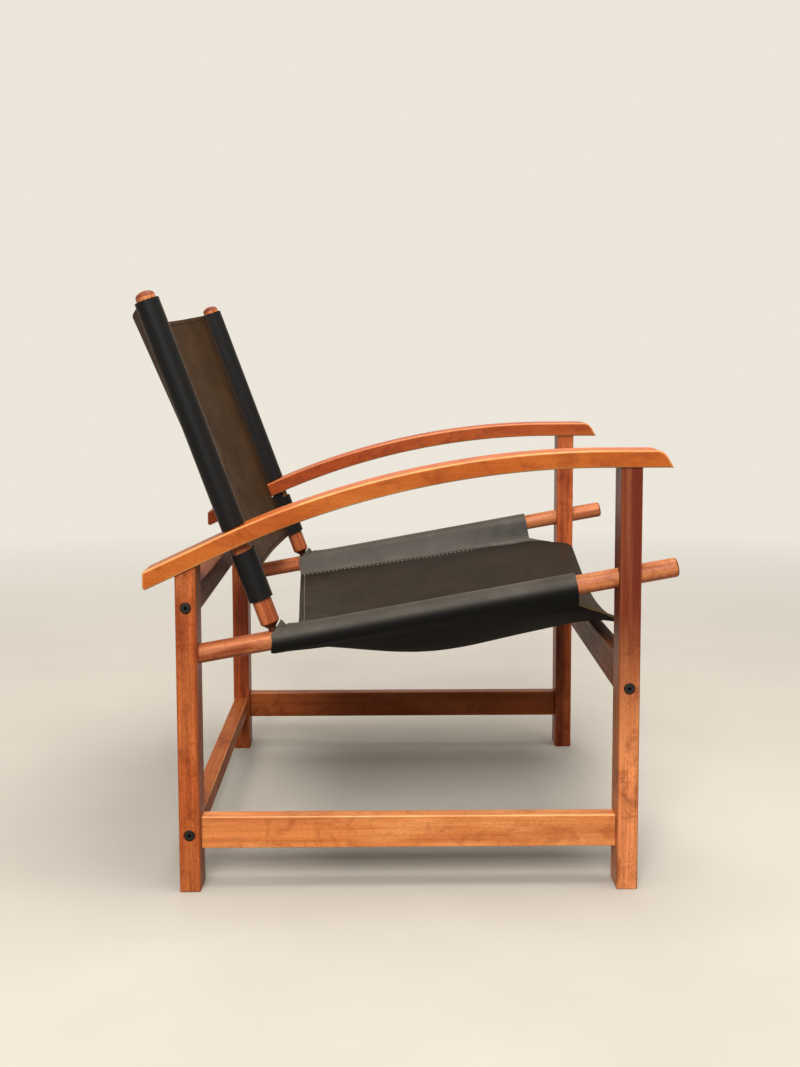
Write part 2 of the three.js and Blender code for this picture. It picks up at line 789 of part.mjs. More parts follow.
for (const side of sides) {
  add(`rear_leg_${side.name}`, leg(0, side), beech());
  add(`front_leg_${side.name}`, leg(frontLegX, side), beech());
  add(`armrest_${side.name}`, armrest(side), armBeech());
  add(`side_stretcher_${side.name}`, sideStretcher(side), beech());
  add(`seat_rail_${side.name}`, seatRail(side), armBeech());
  add(`back_post_${side.name}`, backPost(side), armBeech());
  add(`arm_dowel_rear_${side.name}`, armDowel(0, side), plainBeech());
  add(`arm_dowel_front_${side.name}`, armDowel(frontLegX, side), plainBeech());
}
for (const piece of crossPieces) {
  add(piece.name, crossPiece(piece), beech());
  for (const side of sides) {
    add(`${piece.place}_bolt_${side.name}`, bolt(piece, side), blackSteel());
    add(`${piece.place}_barrel_nut_${side.name}`, barrelNut(piece, side), brightSteel());
    add(`${piece.place}_dowel_${side.name}`, locatingDowel(piece, side), plainBeech());
  }
}
add('seat_sling', seatSling(), leather());
add('back_sling', backSling(), leather());

const bounds = new THREE.Box3().setFromObject(chair);
chair.position.x = -bounds.getCenter(new THREE.Vector3()).x;

export default chair;
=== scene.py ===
import math

import bmesh
import bpy
from mathutils import Matrix, Vector, noise


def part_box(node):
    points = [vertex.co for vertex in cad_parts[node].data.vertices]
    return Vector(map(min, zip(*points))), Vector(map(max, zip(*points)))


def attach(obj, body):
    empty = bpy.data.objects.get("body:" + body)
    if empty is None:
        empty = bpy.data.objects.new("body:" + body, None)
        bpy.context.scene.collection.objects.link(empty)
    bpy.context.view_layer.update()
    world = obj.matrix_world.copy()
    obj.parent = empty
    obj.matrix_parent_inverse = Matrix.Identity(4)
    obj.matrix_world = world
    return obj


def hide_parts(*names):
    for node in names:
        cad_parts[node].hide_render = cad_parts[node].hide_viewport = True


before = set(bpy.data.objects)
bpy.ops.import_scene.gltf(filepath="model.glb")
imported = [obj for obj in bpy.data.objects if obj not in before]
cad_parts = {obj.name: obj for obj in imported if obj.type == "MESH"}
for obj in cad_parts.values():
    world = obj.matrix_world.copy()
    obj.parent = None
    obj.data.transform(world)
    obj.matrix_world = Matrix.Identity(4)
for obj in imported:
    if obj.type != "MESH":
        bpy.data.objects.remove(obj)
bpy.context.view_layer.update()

# Sizes in metres, laid out from the rear faces of the rear legs, the middle of the chair and the floor
LEG_THICKNESS = 0.027
LEG_WIDTH = 0.047
LEG_SPAN = 0.588
FRAME_WIDTH = 0.672
LEG_ROUND = 0.0025
FOOT_CHAMFER = 0.0012

ARM_WIDTH = 0.055
ARM_THICKNESS = 0.022
ARM_UNDERSIDE = 0.545
ARM_ARC_RADIUS = 1.150
ARM_LEVEL_START = 0.545
ARM_SLOPE_END = 0.060
ARM_FRONT_OVERHANG = 0.038
ARM_REAR_OVERHANG = 0.040
ARM_END_LEAN = 0.012
ARM_NOSE_DROP = 0.011
ARM_NOSE_RUN = 0.0165
ARM_REAR_ROUND = 0.0036
ARM_EDGE_ROUND = 0.0028

STRETCHER_HEIGHT = 0.042
STRETCHER_THICKNESS = 0.022
STRETCHER_FLOOR_GAP = 0.053
CROSS_INSET = 0.001
CROSS_ROUND = 0.002
END_EASE = 0.0004
REAR_TOP = {"height": 0.035, "thickness": 0.022, "below_arm": 0.0581, "bolt_rise": 0.011}
REAR_LOW = {"height": 0.026, "thickness": 0.023, "floor_gap": 0.064, "bolt_rise": 0.0105}
FRONT = {"height": 0.051, "thickness": 0.020, "below_rail": 0.1524, "bolt_rise": 0.011}
FRONT_HOLLOW = 0.006

RAIL_RADIUS = 0.0125
RAIL_SLOPE = math.radians(10.15)
RAIL_BELOW_ARM = 0.1097
RAIL_SOCKET = 0.014
RAIL_FRONT_OVERHANG = 0.050
RAIL_TIP_ROUND = 0.004

POST_RADIUS = 0.0125
POST_RECLINE = math.radians(20.1)
POST_FOOT_DISTANCE = 0.0988
POST_SHOULDER_RISE = 0.0115
POST_SHOULDER_BLEND = 0.0003
POST_LENGTH = 0.446
POST_DOME = 0.007
POST_RING_GAP = 0.001
PEG_RADIUS = 0.0055
PEG_PAST_AXIS = 0.006
PEG_CHAMFER = 0.001

LEATHER = 0.003
SLEEVE_GAP = 0.0004
SEAM_GAP = 0.0006
FLAP = 0.010

SEAT_PAST_POST = {"left": 0.0099, "right": 0.0046}
SEAT_SEAM_LEAN = 0.012
SEAT_FRONT_GAP = 0.053
SEAT_DROP_REAR = 0.018
SEAT_DROP_FRONT = {"left": 0.027, "right": 0.031}
SEAT_SAG_REAR = 0.017
SEAT_SAG_DEEPEST = 0.086
SEAT_SAG_FRONT = 0.069
SEAT_DEEPEST_SHARE = 0.57
SEAT_REAR_BOW = 0.008
SEAT_REAR_SKEW = 0.008
SEAT_UPRIGHT_FROM = 0.70
SEAT_UPRIGHT_RUN = 0.26
SEAT_UPRIGHT_SHARE = 0.5
TONGUE = 0.068
TONGUE_CORNER = 0.014
TONGUE_TAPER_GAP = 0.017
TONGUE_SIDE_LEAN = 0.001
TONGUE_LEG_GAP = 0.002
TONGUE_DROOP = {"left": 0.016, "right": 0.040}
TONGUE_HOLLOW = 0.006
TONGUE_CURL = 1.5
PEG_NOTCH_GAP = 0.0050
PEG_NOTCH_CROWN = 0.6
PEG_NOTCH_RUN = 0.06
EAR_CROWN = 0.5
EAR_RISE = 0.0048
EAR_LENGTH = 0.0046
EAR_NOTCH = 0.0085
EAR_SLIT = 0.0024
LOOSE_RISE = 0.0040
LOOSE_LENGTH = 0.020
LOOSE_END = 0.12

BACK_FOOT_GAP = 0.032
BACK_TOP_GAP = 0.012
BACK_DROP = 0.011
BACK_SEAM_LEAN = 0.005
BACK_SAG_TOP = 0.052
BACK_SAG_FOOT = 0.022
WINDOW_ABOVE = 0.0015
WINDOW_BELOW = 0.010
WINDOW_INSET = 0.0015
WINDOW_OVERLAP = 0.001
WINDOW_POST_INSET = 0.0145

# Ripples of the leather: height, size and a number that sets their place
SEAT_PULLS = (0.0016, 0.034, 3.7)
SEAT_WAVES = (0.0012, 0.11, 8.1)
BACK_PULLS = (0.0012, 0.036, 1.3)
BACK_WAVES = (0.0012, 0.12, 5.9)
PULL_START = 0.010
PULL_REACH = 0.045
WAVE_START = 0.05
SHEET_DEPTH_SHARE = 0.9

BOLT_RADIUS = 0.003
BOLT_HEAD_RADIUS = 0.0067
BOLT_HEAD_THICKNESS = 0.0026
BOLT_HEAD_ROUND = 0.0009
BOLT_SOCKET_WIDTH = 0.004
BOLT_SOCKET_DEPTH = 0.0018
BOLT_TIP_CHAMFER = 0.001
BOLT_PAST_NUT = 0.008
NUT_RADIUS = 0.005
NUT_LENGTH = 0.016
NUT_SETBACK = 0.025

JOINT_GAP = 0.0003
DRILL_GAP = 0.0003
CUT_MARGIN = 0.005
FLAT_MARGIN = 0.0004

SEAT_SEWING = {"Pitch": 0.0070, "Stitch length": 0.0044, "Thread thickness": 0.0012}
BACK_SEWING = {"Pitch": 0.0078, "Stitch length": 0.0048, "Thread thickness": 0.0018}
STITCH_FROM_SEAM = 0.0045
STITCH_LIFT = 0.0001
STITCH_OVER_ARM = 0.006
STITCH_UNDER_WINDOW = 0.005
SHEET_PAST_STITCH = 0.0022

# Angles that shade as edges, sides of turned pieces, holes and stitches, steps of the curves and of the
# slings' grids, and rows and columns of the grids where the stitches lie
WOOD_CREASE = 35
SLING_CREASE = 50
ROD_SIDES = 64
BOLT_SIDES = 48
HOLE_SIDES = 48
PEG_HOLE_SIDES = 32
SOCKET_SIDES = 6
BEAD_SEGMENTS = 8
BEAD_RINGS = 6
RAIL_TIP_STEPS = 7
BOLT_HEAD_STEPS = 5
NOSE_STEPS = 10
DOME_STEPS = 10
HOLLOW_STEPS = 24
FLAP_STEPS = 6
TUCK_STEPS = 7
WRAP_STEPS = 40
RISE_STEPS = 9
EDGE_STEP = 0.002
TONGUE_SIDE_STEP = 0.001
TONGUE_CORNER_STEP = 0.0016
SHEET_STEP = 0.0065
SEAT_REAR_STEP = 0.001
SEAT_REAR_STEPS = 24
SEAT_ROW_SHARE = 0.0075
BACK_EDGE_WIDTH = 0.02
BACK_STEPS = 126
SEAT_HEM_ROW = 6
SEAT_LAST_ROWS = 14
BACK_HEM_ROW = 2
HEM_END_COLUMNS = 2

# Worked out from the sizes
SIDE_Y = (FRAME_WIDTH - LEG_WIDTH) / 2
INNER_Y = FRAME_WIDTH / 2 - LEG_WIDTH
CROSS_HALF = INNER_Y - JOINT_GAP
FRONT_LEG_X = LEG_SPAN - LEG_THICKNESS
ARM_FRONT_X = LEG_SPAN + ARM_FRONT_OVERHANG
ARM_TURN = math.asin((ARM_LEVEL_START - ARM_SLOPE_END) / ARM_ARC_RADIUS)
SIDES = [("right", -SIDE_Y, 1), ("left", SIDE_Y, -1)]
rear_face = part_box("rear_leg_right")[0].x


def spot(x, y, z):
    """A place of the layout in the chair's own frame."""
    return Vector((x + rear_face, y, z))


def arm_height(rise, x):
    """Height of a line that follows the armrest's underside, at a distance above it."""
    radius = ARM_ARC_RADIUS + rise
    bend_x = ARM_LEVEL_START - radius * math.sin(ARM_TURN)
    bend_z = ARM_UNDERSIDE - ARM_ARC_RADIUS + radius * math.cos(ARM_TURN)
    if x < bend_x:
        return bend_z - (bend_x - x) * math.tan(ARM_TURN)
    if x > ARM_LEVEL_START:
        return ARM_UNDERSIDE + rise
    return ARM_UNDERSIDE - ARM_ARC_RADIUS + math.sqrt(radius**2 - (ARM_LEVEL_START - x) ** 2)


X_AXIS, Y_AXIS, Z_AXIS = Vector((1, 0, 0)), Vector((0, 1, 0)), Vector((0, 0, 1))
ARM_OVER_REAR_LEG = arm_height(0, LEG_THICKNESS / 2)
RAIL_ALONG = Vector((math.cos(RAIL_SLOPE), 0, math.sin(RAIL_SLOPE)))
RAIL_DOWN = Vector((math.sin(RAIL_SLOPE), 0, -math.cos(RAIL_SLOPE)))
POST_ALONG = Vector((-math.sin(POST_RECLINE), 0, math.cos(POST_RECLINE)))
POST_BEHIND = Vector((-math.cos(POST_RECLINE), 0, -math.sin(POST_RECLINE)))
RAIL_ORIGIN = spot(LEG_THICKNESS, 0, ARM_OVER_REAR_LEG - RAIL_BELOW_ARM)
RAIL_TO_POST = POST_FOOT_DISTANCE / math.cos(RAIL_SLOPE)
POST_FOOT = RAIL_ORIGIN + RAIL_ALONG * RAIL_TO_POST
RAIL_TO_FRONT_LEG = (FRONT_LEG_X - LEG_THICKNESS) / math.cos(RAIL_SLOPE)
RAIL_IN_FRONT_LEG = RAIL_ORIGIN.z + (FRONT_LEG_X - LEG_THICKNESS / 2) * math.tan(RAIL_SLOPE)
RAIL_LENGTH = RAIL_SOCKET + (LEG_SPAN + RAIL_FRONT_OVERHANG - LEG_THICKNESS) / math.cos(RAIL_SLOPE)
SEAT_START = RAIL_TO_POST - SEAT_PAST_POST["left"]
SEAT_SHORTER = SEAT_PAST_POST["left"] - SEAT_PAST_POST["right"]
SEAT_LENGTH = RAIL_TO_FRONT_LEG - SEAT_FRONT_GAP - SEAT_START
SEAT_RING = RAIL_RADIUS + SLEEVE_GAP + LEATHER / 2
BACK_RING = POST_RADIUS + SLEEVE_GAP + LEATHER / 2
SLEEVE_COLUMNS = FLAP_STEPS + TUCK_STEPS + WRAP_STEPS + RISE_STEPS
POST_LEAN = POST_RECLINE - RAIL_SLOPE
SHOULDER_RISE = RAIL_RADIUS / math.cos(POST_LEAN) + POST_SHOULDER_RISE
HEAD_RECESS = BOLT_HEAD_THICKNESS + JOINT_GAP
BOLT_LENGTH = LEG_WIDTH + JOINT_GAP + NUT_SETBACK + BOLT_PAST_NUT - HEAD_RECESS
CROSS_PIECES = [
    {
        "name": "rear_top_rail", "bolts": "rear_top", "leg_x": 0, **REAR_TOP,
        "x": LEG_THICKNESS - CROSS_INSET - REAR_TOP["thickness"] / 2,
        "low": ARM_OVER_REAR_LEG - REAR_TOP["below_arm"],
    },
    {
        "name": "rear_lower_stretcher", "bolts": "rear_low", "leg_x": 0, **REAR_LOW,
        "x": LEG_THICKNESS / 2,
        "low": REAR_LOW["floor_gap"],
    },
    {
        "name": "front_rail", "bolts": "front", "leg_x": FRONT_LEG_X, **FRONT,
        "x": FRONT_LEG_X + CROSS_INSET + FRONT["thickness"] / 2,
        "low": RAIL_IN_FRONT_LEG - FRONT["below_rail"],
    },
]


# Nodes
def paint(red, green, blue):
    """A colour read off a screen, from 0 to 255, as the shader takes it."""
    def linear(value):
        value /= 255
        return value / 12.92 if value <= 0.04045 else ((value + 0.055) / 1.055) ** 2.4
    return (linear(red), linear(green), linear(blue), 1)


def paints(*colours):
    return tuple(paint(*colour) for colour in colours)


def give(tree, node, inputs):
    """Sets a node's inputs, each to a plain value or to the output of another node."""
    for key, value in inputs.items():
        if isinstance(value, bpy.types.NodeSocket):
            tree.links.new(value, node.inputs[key])
        else:
            node.inputs[key].default_value = value


def add_node(tree, kind, inputs=None, **settings):
    made = tree.nodes.new(kind)
    for key, value in settings.items():
        setattr(made, key, value)
    give(tree, made, inputs or {})
    return made


def mixed(tree, amount, first, second):
    return add_node(tree, "ShaderNodeMix", {0: amount, 6: first, 7: second}, data_type="RGBA").outputs[2]


def ranged(tree, value, low, high, to_low=0.0, to_high=1.0):
    inputs = {"Value": value, "From Min": low, "From Max": high, "To Min": to_low, "To Max": to_high}
    return add_node(tree, "ShaderNodeMapRange", inputs, clamp=True).outputs["Result"]


def worked(tree, how, first, second=0.0):
    return add_node(tree, "ShaderNodeMath", {0: first, 1: second}, operation=how).outputs[0]


def object_coords(tree):
    return add_node(tree, "ShaderNodeTexCoord").outputs["Object"]


def one_axis(tree, vector, axis):
    return add_node(tree, "ShaderNodeSeparateXYZ", {0: vector}).outputs[axis]


def cells(tree, size, detail, rough, warp=0.0, place=(0, 0, 0), turn=(0, 0, 0)):
    """Noise whose cells have a size in metres along and across a piece's grain."""
    inputs = {"Vector": object_coords(tree), "Location": place, "Rotation": turn, "Scale": size}
    mapped = add_node(tree, "ShaderNodeMapping", inputs, vector_type="TEXTURE").outputs["Vector"]
    inputs = {"Vector": mapped, "Scale": 1.0, "Detail": detail, "Roughness": rough, "Distortion": warp}
    return add_node(tree, "ShaderNodeTexNoise", inputs).outputs["Fac"]


def bumped(tree, height, strength, distance):
    inputs = {"Strength": strength, "Distance": distance, "Height": height}
    return add_node(tree, "ShaderNodeBump", inputs).outputs["Normal"]


def new_finish(name):
    finish = bpy.data.materials.new(name)
    finish.use_nodes = True
    tree = finish.node_tree
    tree.nodes.clear()
    shader = add_node(tree, "ShaderNodeBsdfPrincipled")
    add_node(tree, "ShaderNodeOutputMaterial", {"Surface": shader.outputs["BSDF"]})
    return finish, tree, shader


# Figure of wood, leather, thread and steel: size of the cells in metres, detail, roughness and warp
WOOD_BANDS = ((0.45, 0.011, 0.011), 4, 0.6, 0.25)
WOOD_CLOUD = ((0.16, 0.045, 0.045), 3, 0.5, 0.4)
WOOD_STAIN = ((0.030, 0.026, 0.026), 4, 0.6, 0.8)
WOOD_LINES = ((0.090, 0.0024, 0.0024), 3, 0.6, 0.15)
WOOD_FLECKS = ((0.0048, 0.0019, 0.0019), 2, 0.6, 0.0)
LEATHER_CLOUD = ((0.055, 0.055, 0.055), 4, 0.6, 0.6)
LEATHER_CREASES = ((0.011, 0.007, 0.011), 4, 0.65, 1.2)
LEATHER_DUST = ((0.0022, 0.0022, 0.0022), 2, 0.6)
STEEL_MOTTLE = ((0.0015, 0.0015, 0.0015), 4, 0.65)
PORES_IN_A_METRE = 620.0
LEATHER_BLACK = (0.004, 0.004, 0.004, 1)
LEATHER_DUST_TONE = paint(90, 82, 72)
LEATHER_SHEEN_TONE = paint(186, 126, 72)
LEATHER_FIBRES = {
    "figure": ((0.0016, 0.0016, 0.0016), 3, 0.65),
    "light_from": 0.70, "depth": 0.0004, "roughness": 0.8, "shine": 0.10,
}
THREAD_TWIST = {
    "figure": ((0.0009, 0.0005, 0.0009), 2, 0.5),
    "light_from": 0.65, "depth": 0.0002, "roughness": 0.6, "shine": 0.15,
}

# Where a tone changes: the fading stain of a leg, eased edges, the sheet's painted reflection that fades
# beside the seam, and leather beside the thread
FADE = (0.17, 0.34)
FADE_UNEVEN = 0.06
WORN_FROM = 0.02
SHEET_REFLECTION_FADE_FROM_SEAM = 0.030
BLACK_FROM_THREAD = 0.0004
BLACK_PAST_THREAD = 0.0040
THREAD_GROOVE = 0.0022


# Materials
def beech_finish(name, turn, place, deep, middle, pale, worn, banding=1.0, shine=0.18, fade=None):
    """Stained beech: bands of tone, blotches of stain, grain lines, short flecks and worn edges.
    With a fade, the stain turns deep between two heights."""
    finish, tree, shader = new_finish(f"beech_{name}")
    figures = (WOOD_BANDS, WOOD_CLOUD, WOOD_STAIN, WOOD_LINES, WOOD_FLECKS)
    bands, cloud, stain, lines, flecks = (cells(tree, *figure, place, turn) for figure in figures)
    colour = mixed(tree, ranged(tree, bands, 0.36, 0.60, 1 - banding, 1), deep, middle)
    for figure, low, high, strength, tone in [
        (cloud, 0.44, 0.70, 0.80, pale),
        (stain, 0.52, 0.68, 0.52, deep),
        (lines, 0.44, 0.66, 0.40 * banding, deep),
        (flecks, 0.51, 0.64, 0.16 + 0.26 * banding, deep),
    ]:
        colour = mixed(tree, ranged(tree, figure, low, high, 0, strength), colour, tone)
    if fade:
        height = one_axis(tree, object_coords(tree), "Z")
        uneven = worked(tree, "ADD", height, ranged(tree, bands, 0.3, 0.7, -FADE_UNEVEN, FADE_UNEVEN))
        streaks = ranged(tree, bands, 0.40, 0.66, 0.98, 0.80)
        deepened = worked(tree, "MULTIPLY", ranged(tree, uneven, *fade), streaks)
        colour = mixed(tree, deepened, colour, deep)
    edge = add_node(tree, "ShaderNodeAttribute", attribute_name="worn_edge").outputs["Fac"]
    scuff = worked(tree, "MULTIPLY", edge, ranged(tree, cloud, 0.30, 0.62, 0.20, 0.85))
    relief = worked(tree, "SUBTRACT", lines, worked(tree, "MULTIPLY", flecks, 0.6))
    give(tree, shader, {
        "Base Color": mixed(tree, scuff, colour, worn),
        "Roughness": ranged(tree, lines, 0.3, 0.7, 0.36, 0.50),
        "Normal": bumped(tree, relief, 0.25, 0.0003),
        "Specular IOR Level": shine,
    })
    return finish


def leather_finish(name, sleeve, sheet, seam_y, shine, low, high, sheen=0.0, painted_highlight_tone=None):
    """Thick saddle leather: pores, soft creases, a tone for the sheet, partly its own dark brown and partly
    a painted reflection of warm surroundings, and a pressed line under the thread.
    A sleeve given a painted highlight tone has it on faces that look up, as painted light from above, and
    painted shade keeps it black underneath, where it is also dull."""
    finish, tree, shader = new_finish(name)
    coords = object_coords(tree)
    stitch_y = seam_y - STITCH_FROM_SEAM
    from_middle = worked(tree, "ABSOLUTE", one_axis(tree, coords, "Y"))
    figures = (LEATHER_CLOUD, LEATHER_CREASES, LEATHER_DUST)
    cloud, creases, dust = (cells(tree, *figure) for figure in figures)
    inputs = {"Vector": coords, "Scale": PORES_IN_A_METRE, "Randomness": 1.0}
    pores = add_node(tree, "ShaderNodeTexVoronoi", inputs, feature="SMOOTH_F1").outputs["Distance"]
    # Painted reflection: the sheet's tone, with its painted reflection, fades towards the sleeve's tone near
    # the seam
    painted_reflection_fade = ranged(tree, from_middle, seam_y - SHEET_REFLECTION_FADE_FROM_SEAM, stitch_y, 0, 0.45)
    past_thread = ranged(tree, from_middle, stitch_y + BLACK_FROM_THREAD, stitch_y + BLACK_PAST_THREAD)
    blackened = worked(tree, "MAXIMUM", painted_reflection_fade, past_thread)
    roughness = ranged(tree, cloud, 0.3, 0.7, low, high)
    # Painted highlight and shade: a pale tone on faces that look up and black on faces that look down stand
    # in for light from above
    if painted_highlight_tone:
        upward = one_axis(tree, add_node(tree, "ShaderNodeNewGeometry").outputs["Normal"], "Z")
        blackened = worked(tree, "MAXIMUM", blackened, ranged(tree, upward, -0.30, 0.10, 1, 0))
        sleeve = mixed(tree, ranged(tree, upward, -0.10, 0.60), sleeve, painted_highlight_tone)
        roughness = worked(tree, "MAXIMUM", roughness, ranged(tree, upward, -0.40, 0.20, 1.0, low))
    colour = mixed(tree, blackened, sheet, sleeve)
    colour = mixed(tree, ranged(tree, cloud, 0.35, 0.75, 0, 0.40), colour, LEATHER_BLACK)
    colour = mixed(tree, ranged(tree, dust, 0.64, 0.80, 0, 0.22), colour, LEATHER_DUST_TONE)
    from_thread = worked(tree, "ABSOLUTE", worked(tree, "SUBTRACT", from_middle, stitch_y))
    groove = ranged(tree, from_thread, 0.0, THREAD_GROOVE)
    relief = worked(tree, "MULTIPLY", pores, 0.35)
    for figure, share in ((creases, 0.7), (groove, 0.5)):
        relief = worked(tree, "ADD", relief, worked(tree, "MULTIPLY", figure, share))
    give(tree, shader, {
        "Base Color": colour,
        "Roughness": roughness,
        "Normal": bumped(tree, relief, 0.45, 0.0010),
        "Specular IOR Level": shine,
        "Sheen Weight": sheen,
        "Sheen Roughness": 0.25,
        "Sheen Tint": LEATHER_SHEEN_TONE,
    })
    return finish


def fibre_finish(name, dark, light, figure, light_from, depth, roughness, shine):
    """Fibres in two tones: the cut edges and the flesh side of the leather, and the twist of the thread."""
    finish, tree, shader = new_finish(name)
    fibres = cells(tree, *figure)
    give(tree, shader, {
        "Base Color": mixed(tree, ranged(tree, fibres, 0.35, light_from), dark, light),
        "Roughness": roughness,
        "Normal": bumped(tree, fibres, 0.4, depth),
        "Specular IOR Level": shine,
    })
    return finish


def steel_finish(name, dark, light, low, high):
    """Steel with a mottled finish, blackened, bright, and near black in the bolts' sockets as painted shade.
    """
    finish, tree, shader = new_finish(name)
    mottle = cells(tree, *STEEL_MOTTLE)
    give(tree, shader, {
        "Base Color": mixed(tree, ranged(tree, mottle, 0.35, 0.7), dark, light),
        "Roughness": ranged(tree, mottle, 0.3, 0.7, low, high),
        "Metallic": 1.0,
    })
    return finish


# Meshes
def spaced(start, end, steps):
    """Values in even steps from a start to an end, with both."""
    return [start + (end - start) * step / steps for step in range(steps + 1)]


def add_object(name, mesh):
    piece = bpy.data.objects.new(name, mesh)
    bpy.context.scene.collection.objects.link(piece)
    return piece


def new_piece(name, points, faces, *finishes):
    mesh = bpy.data.meshes.new(name)
    mesh.from_pydata([tuple(point) for point in points], [], faces)
    for finish in finishes:
        mesh.materials.append(finish)
    shell = bmesh.new()
    shell.from_mesh(mesh)
    bmesh.ops.recalc_face_normals(shell, faces=shell.faces)
    shell.to_mesh(mesh)
    shell.free()
    return add_object(name, mesh)


def settle(piece):
    """Turns a piece with modifiers into a plain mesh of the same name."""
    bpy.context.view_layer.update()
    ready = piece.evaluated_get(bpy.context.evaluated_depsgraph_get())
    mesh = bpy.data.meshes.new_from_object(ready)
    piece.modifiers.clear()
    old, piece.data = piece.data, mesh
    name = old.name
    bpy.data.meshes.remove(old)
    mesh.name = name
    return piece


def cut(piece, *cutters):
    """Takes cutters out of a piece and removes them."""
    for cutter in cutters:
        hole = piece.modifiers.new("hole", "BOOLEAN")
        hole.operation, hole.solver, hole.object = "DIFFERENCE", "EXACT", cutter
        hole.material_mode = "INDEX"
    settle(piece)
    for cutter in cutters:
        mesh = cutter.data
        bpy.data.objects.remove(cutter)
        bpy.data.meshes.remove(mesh)
    return piece


def line_with_second(cutter):
    """Makes a cutter leave the second finish of the piece in its hole."""
    for face in cutter.data.polygons:
        face.material_index = 1
    return cutter


def smooth(piece, degrees=WOOD_CREASE):
    """Shades a piece smoothly, apart from edges that bend by more than an angle."""
    piece.data.shade_smooth()
    piece.data.set_sharp_from_angle(angle=math.radians(degrees))
    return piece


def mark_worn_edges(piece, across):
    """Writes how far each corner of a face is round an eased edge, 1 at the middle of the rounding."""
    def turned_from(normal):
        part = normal.dot(across) ** 2
        return min(1.0, 4 * part * (1 - part))
    mesh = piece.data
    worn = mesh.attributes.new("worn_edge", "FLOAT", "CORNER")
    for face in mesh.polygons:
        flat = turned_from(face.normal) < WORN_FROM
        for corner in face.loop_indices:
            normal = mesh.vertices[mesh.loops[corner].vertex_index].normal
            worn.data[corner].value = 0.0 if flat else turned_from(normal)


def loft(rings):
    """Points and faces of a solid through closed rings, with both ends closed."""
    count, last = len(rings[0]), len(rings) - 1
    faces = [tuple(reversed(range(count))), tuple(range(last * count, (last + 1) * count))]
    for i in range(last):
        for j in range(count):
            k = (j + 1) % count
            faces.append((i * count + j, i * count + k, (i + 1) * count + k, (i + 1) * count + j))
    return [point for ring in rings for point in ring], faces


def rounded_section(width, depth, radius, inset=0.0, steps=5):
    """Corners of a rectangle with eased edges, with a point on each flat beside every rounding."""
    points = []
    for quarter, (u, v) in enumerate([(1, 1), (-1, 1), (-1, -1), (1, -1)]):
        centre = Vector((u * (width / 2 - radius), v * (depth / 2 - radius)))
        start = quarter * math.pi / 2
        before = Vector((math.cos(start), math.sin(start)))
        after = Vector((-before.y, before.x))
        points.append(centre + before * (radius - inset) - after * FLAT_MARGIN)
        for turn in spaced(start, start + math.pi / 2, steps):
            points.append(centre + Vector((math.cos(turn), math.sin(turn))) * (radius - inset))
        points.append(centre + after * (radius - inset) - before * FLAT_MARGIN)
    return points


def both_ends(stops):
    """Stops from one end to the other, from those of the first half."""
    return stops + [(-at, inset) for at, inset in reversed(stops)]


def ringed(stops, width, depth, radius, place):
    """Rings of a bar with eased edges, from stops along it and the inset of its section at each."""
    return [[place(at, p) for p in rounded_section(width, depth, radius, inset)] for at, inset in stops]


def turned(name, profile, start, along, sides, *finishes):
    """Piece turned from pairs of radius and distance along its axis."""
    one = along.orthogonal().normalized()
    two = along.cross(one)
    points, rows, faces = [], [], []
    for radius, distance in profile:
        middle = start + along * distance
        if radius == 0:
            rows.append([len(points)] * sides)
            points.append(middle)
            continue
        rows.append(list(range(len(points), len(points) + sides)))
        for side in range(sides):
            angle = 2 * math.pi * side / sides
            points.append(middle + (one * math.cos(angle) + two * math.sin(angle)) * radius)
    for near, far in zip(rows, rows[1:]):
        for j in range(sides):
            k = (j + 1) % sides
            corners = [near[j], near[k], far[k], far[j]]
            faces.append(tuple(dict.fromkeys(corners)))
    return new_piece(name, points, faces, *finishes)


def finish_part(piece, start, along, low, high, finish):
    """Gives the faces of a turned piece between two distances along it a finish of their own."""
    piece.data.materials.append(finish)
    for face in piece.data.polygons:
        if low < (face.center - start).dot(along) < high:
            face.material_index = len(piece.data.materials) - 1


def drill(start, along, length, radius, sides=HOLE_SIDES, *finishes):
    """Cutter for a hole, round or with a few sides."""
    profile = [(0, 0), (radius, 0), (radius, length), (0, length)]
    return turned("drill", profile, start, along, sides, *finishes)


def rounding(radius, centre_radius, distance, start, end, steps):
    """Part of a turned profile that follows a quarter of a circle."""
    turns = spaced(math.radians(start), math.radians(end), steps)
    return [(centre_radius + radius * math.cos(turn), distance + radius * math.sin(turn)) for turn in turns]


def dress(piece, body, slot, *nodes):
    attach(piece, body)
    if nodes:
        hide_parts(*nodes)
    return piece


# Wood: directions of the grain, and tones of the stain, deep, middle, pale and at the eased edges; the
# darker tones of the far side and of the cross pieces between the legs are painted shade
ALONG_X, ALONG_Y, ALONG_Z = (0, 0, 0), (0, 0, math.pi / 2), (0, -math.pi / 2, 0)
ALONG_RAIL, ALONG_POST = (0, -RAIL_SLOPE, 0), (0, -math.pi / 2 - POST_RECLINE, 0)
leg_tones = paints((104, 39, 16), (188, 94, 44), (214, 128, 68), (158, 78, 40))
# Painted shade: the far legs take a darker copy of the leg stain, for the shade on the far side
far_leg_painted_shade_tones = paints((95, 33, 14), (176, 79, 37), (206, 110, 55), (178, 100, 54))
fading_leg_tones = paints((98, 31, 14), (242, 150, 90), (248, 168, 104), (146, 70, 38))
arm_tones = paints((126, 52, 12), (180, 90, 30), (194, 108, 44), (240, 178, 110))
# Painted shade: the far armrest takes a darker copy of the arm stain
far_arm_painted_shade_tones = paints((104, 36, 10), (158, 66, 24), (178, 90, 37), (222, 150, 90))
rail_tones = paints((132, 60, 30), (200, 116, 70), (222, 150, 98), (232, 170, 120))
cross_tones = paints((156, 76, 34), (222, 136, 74), (240, 166, 102), (248, 196, 136))
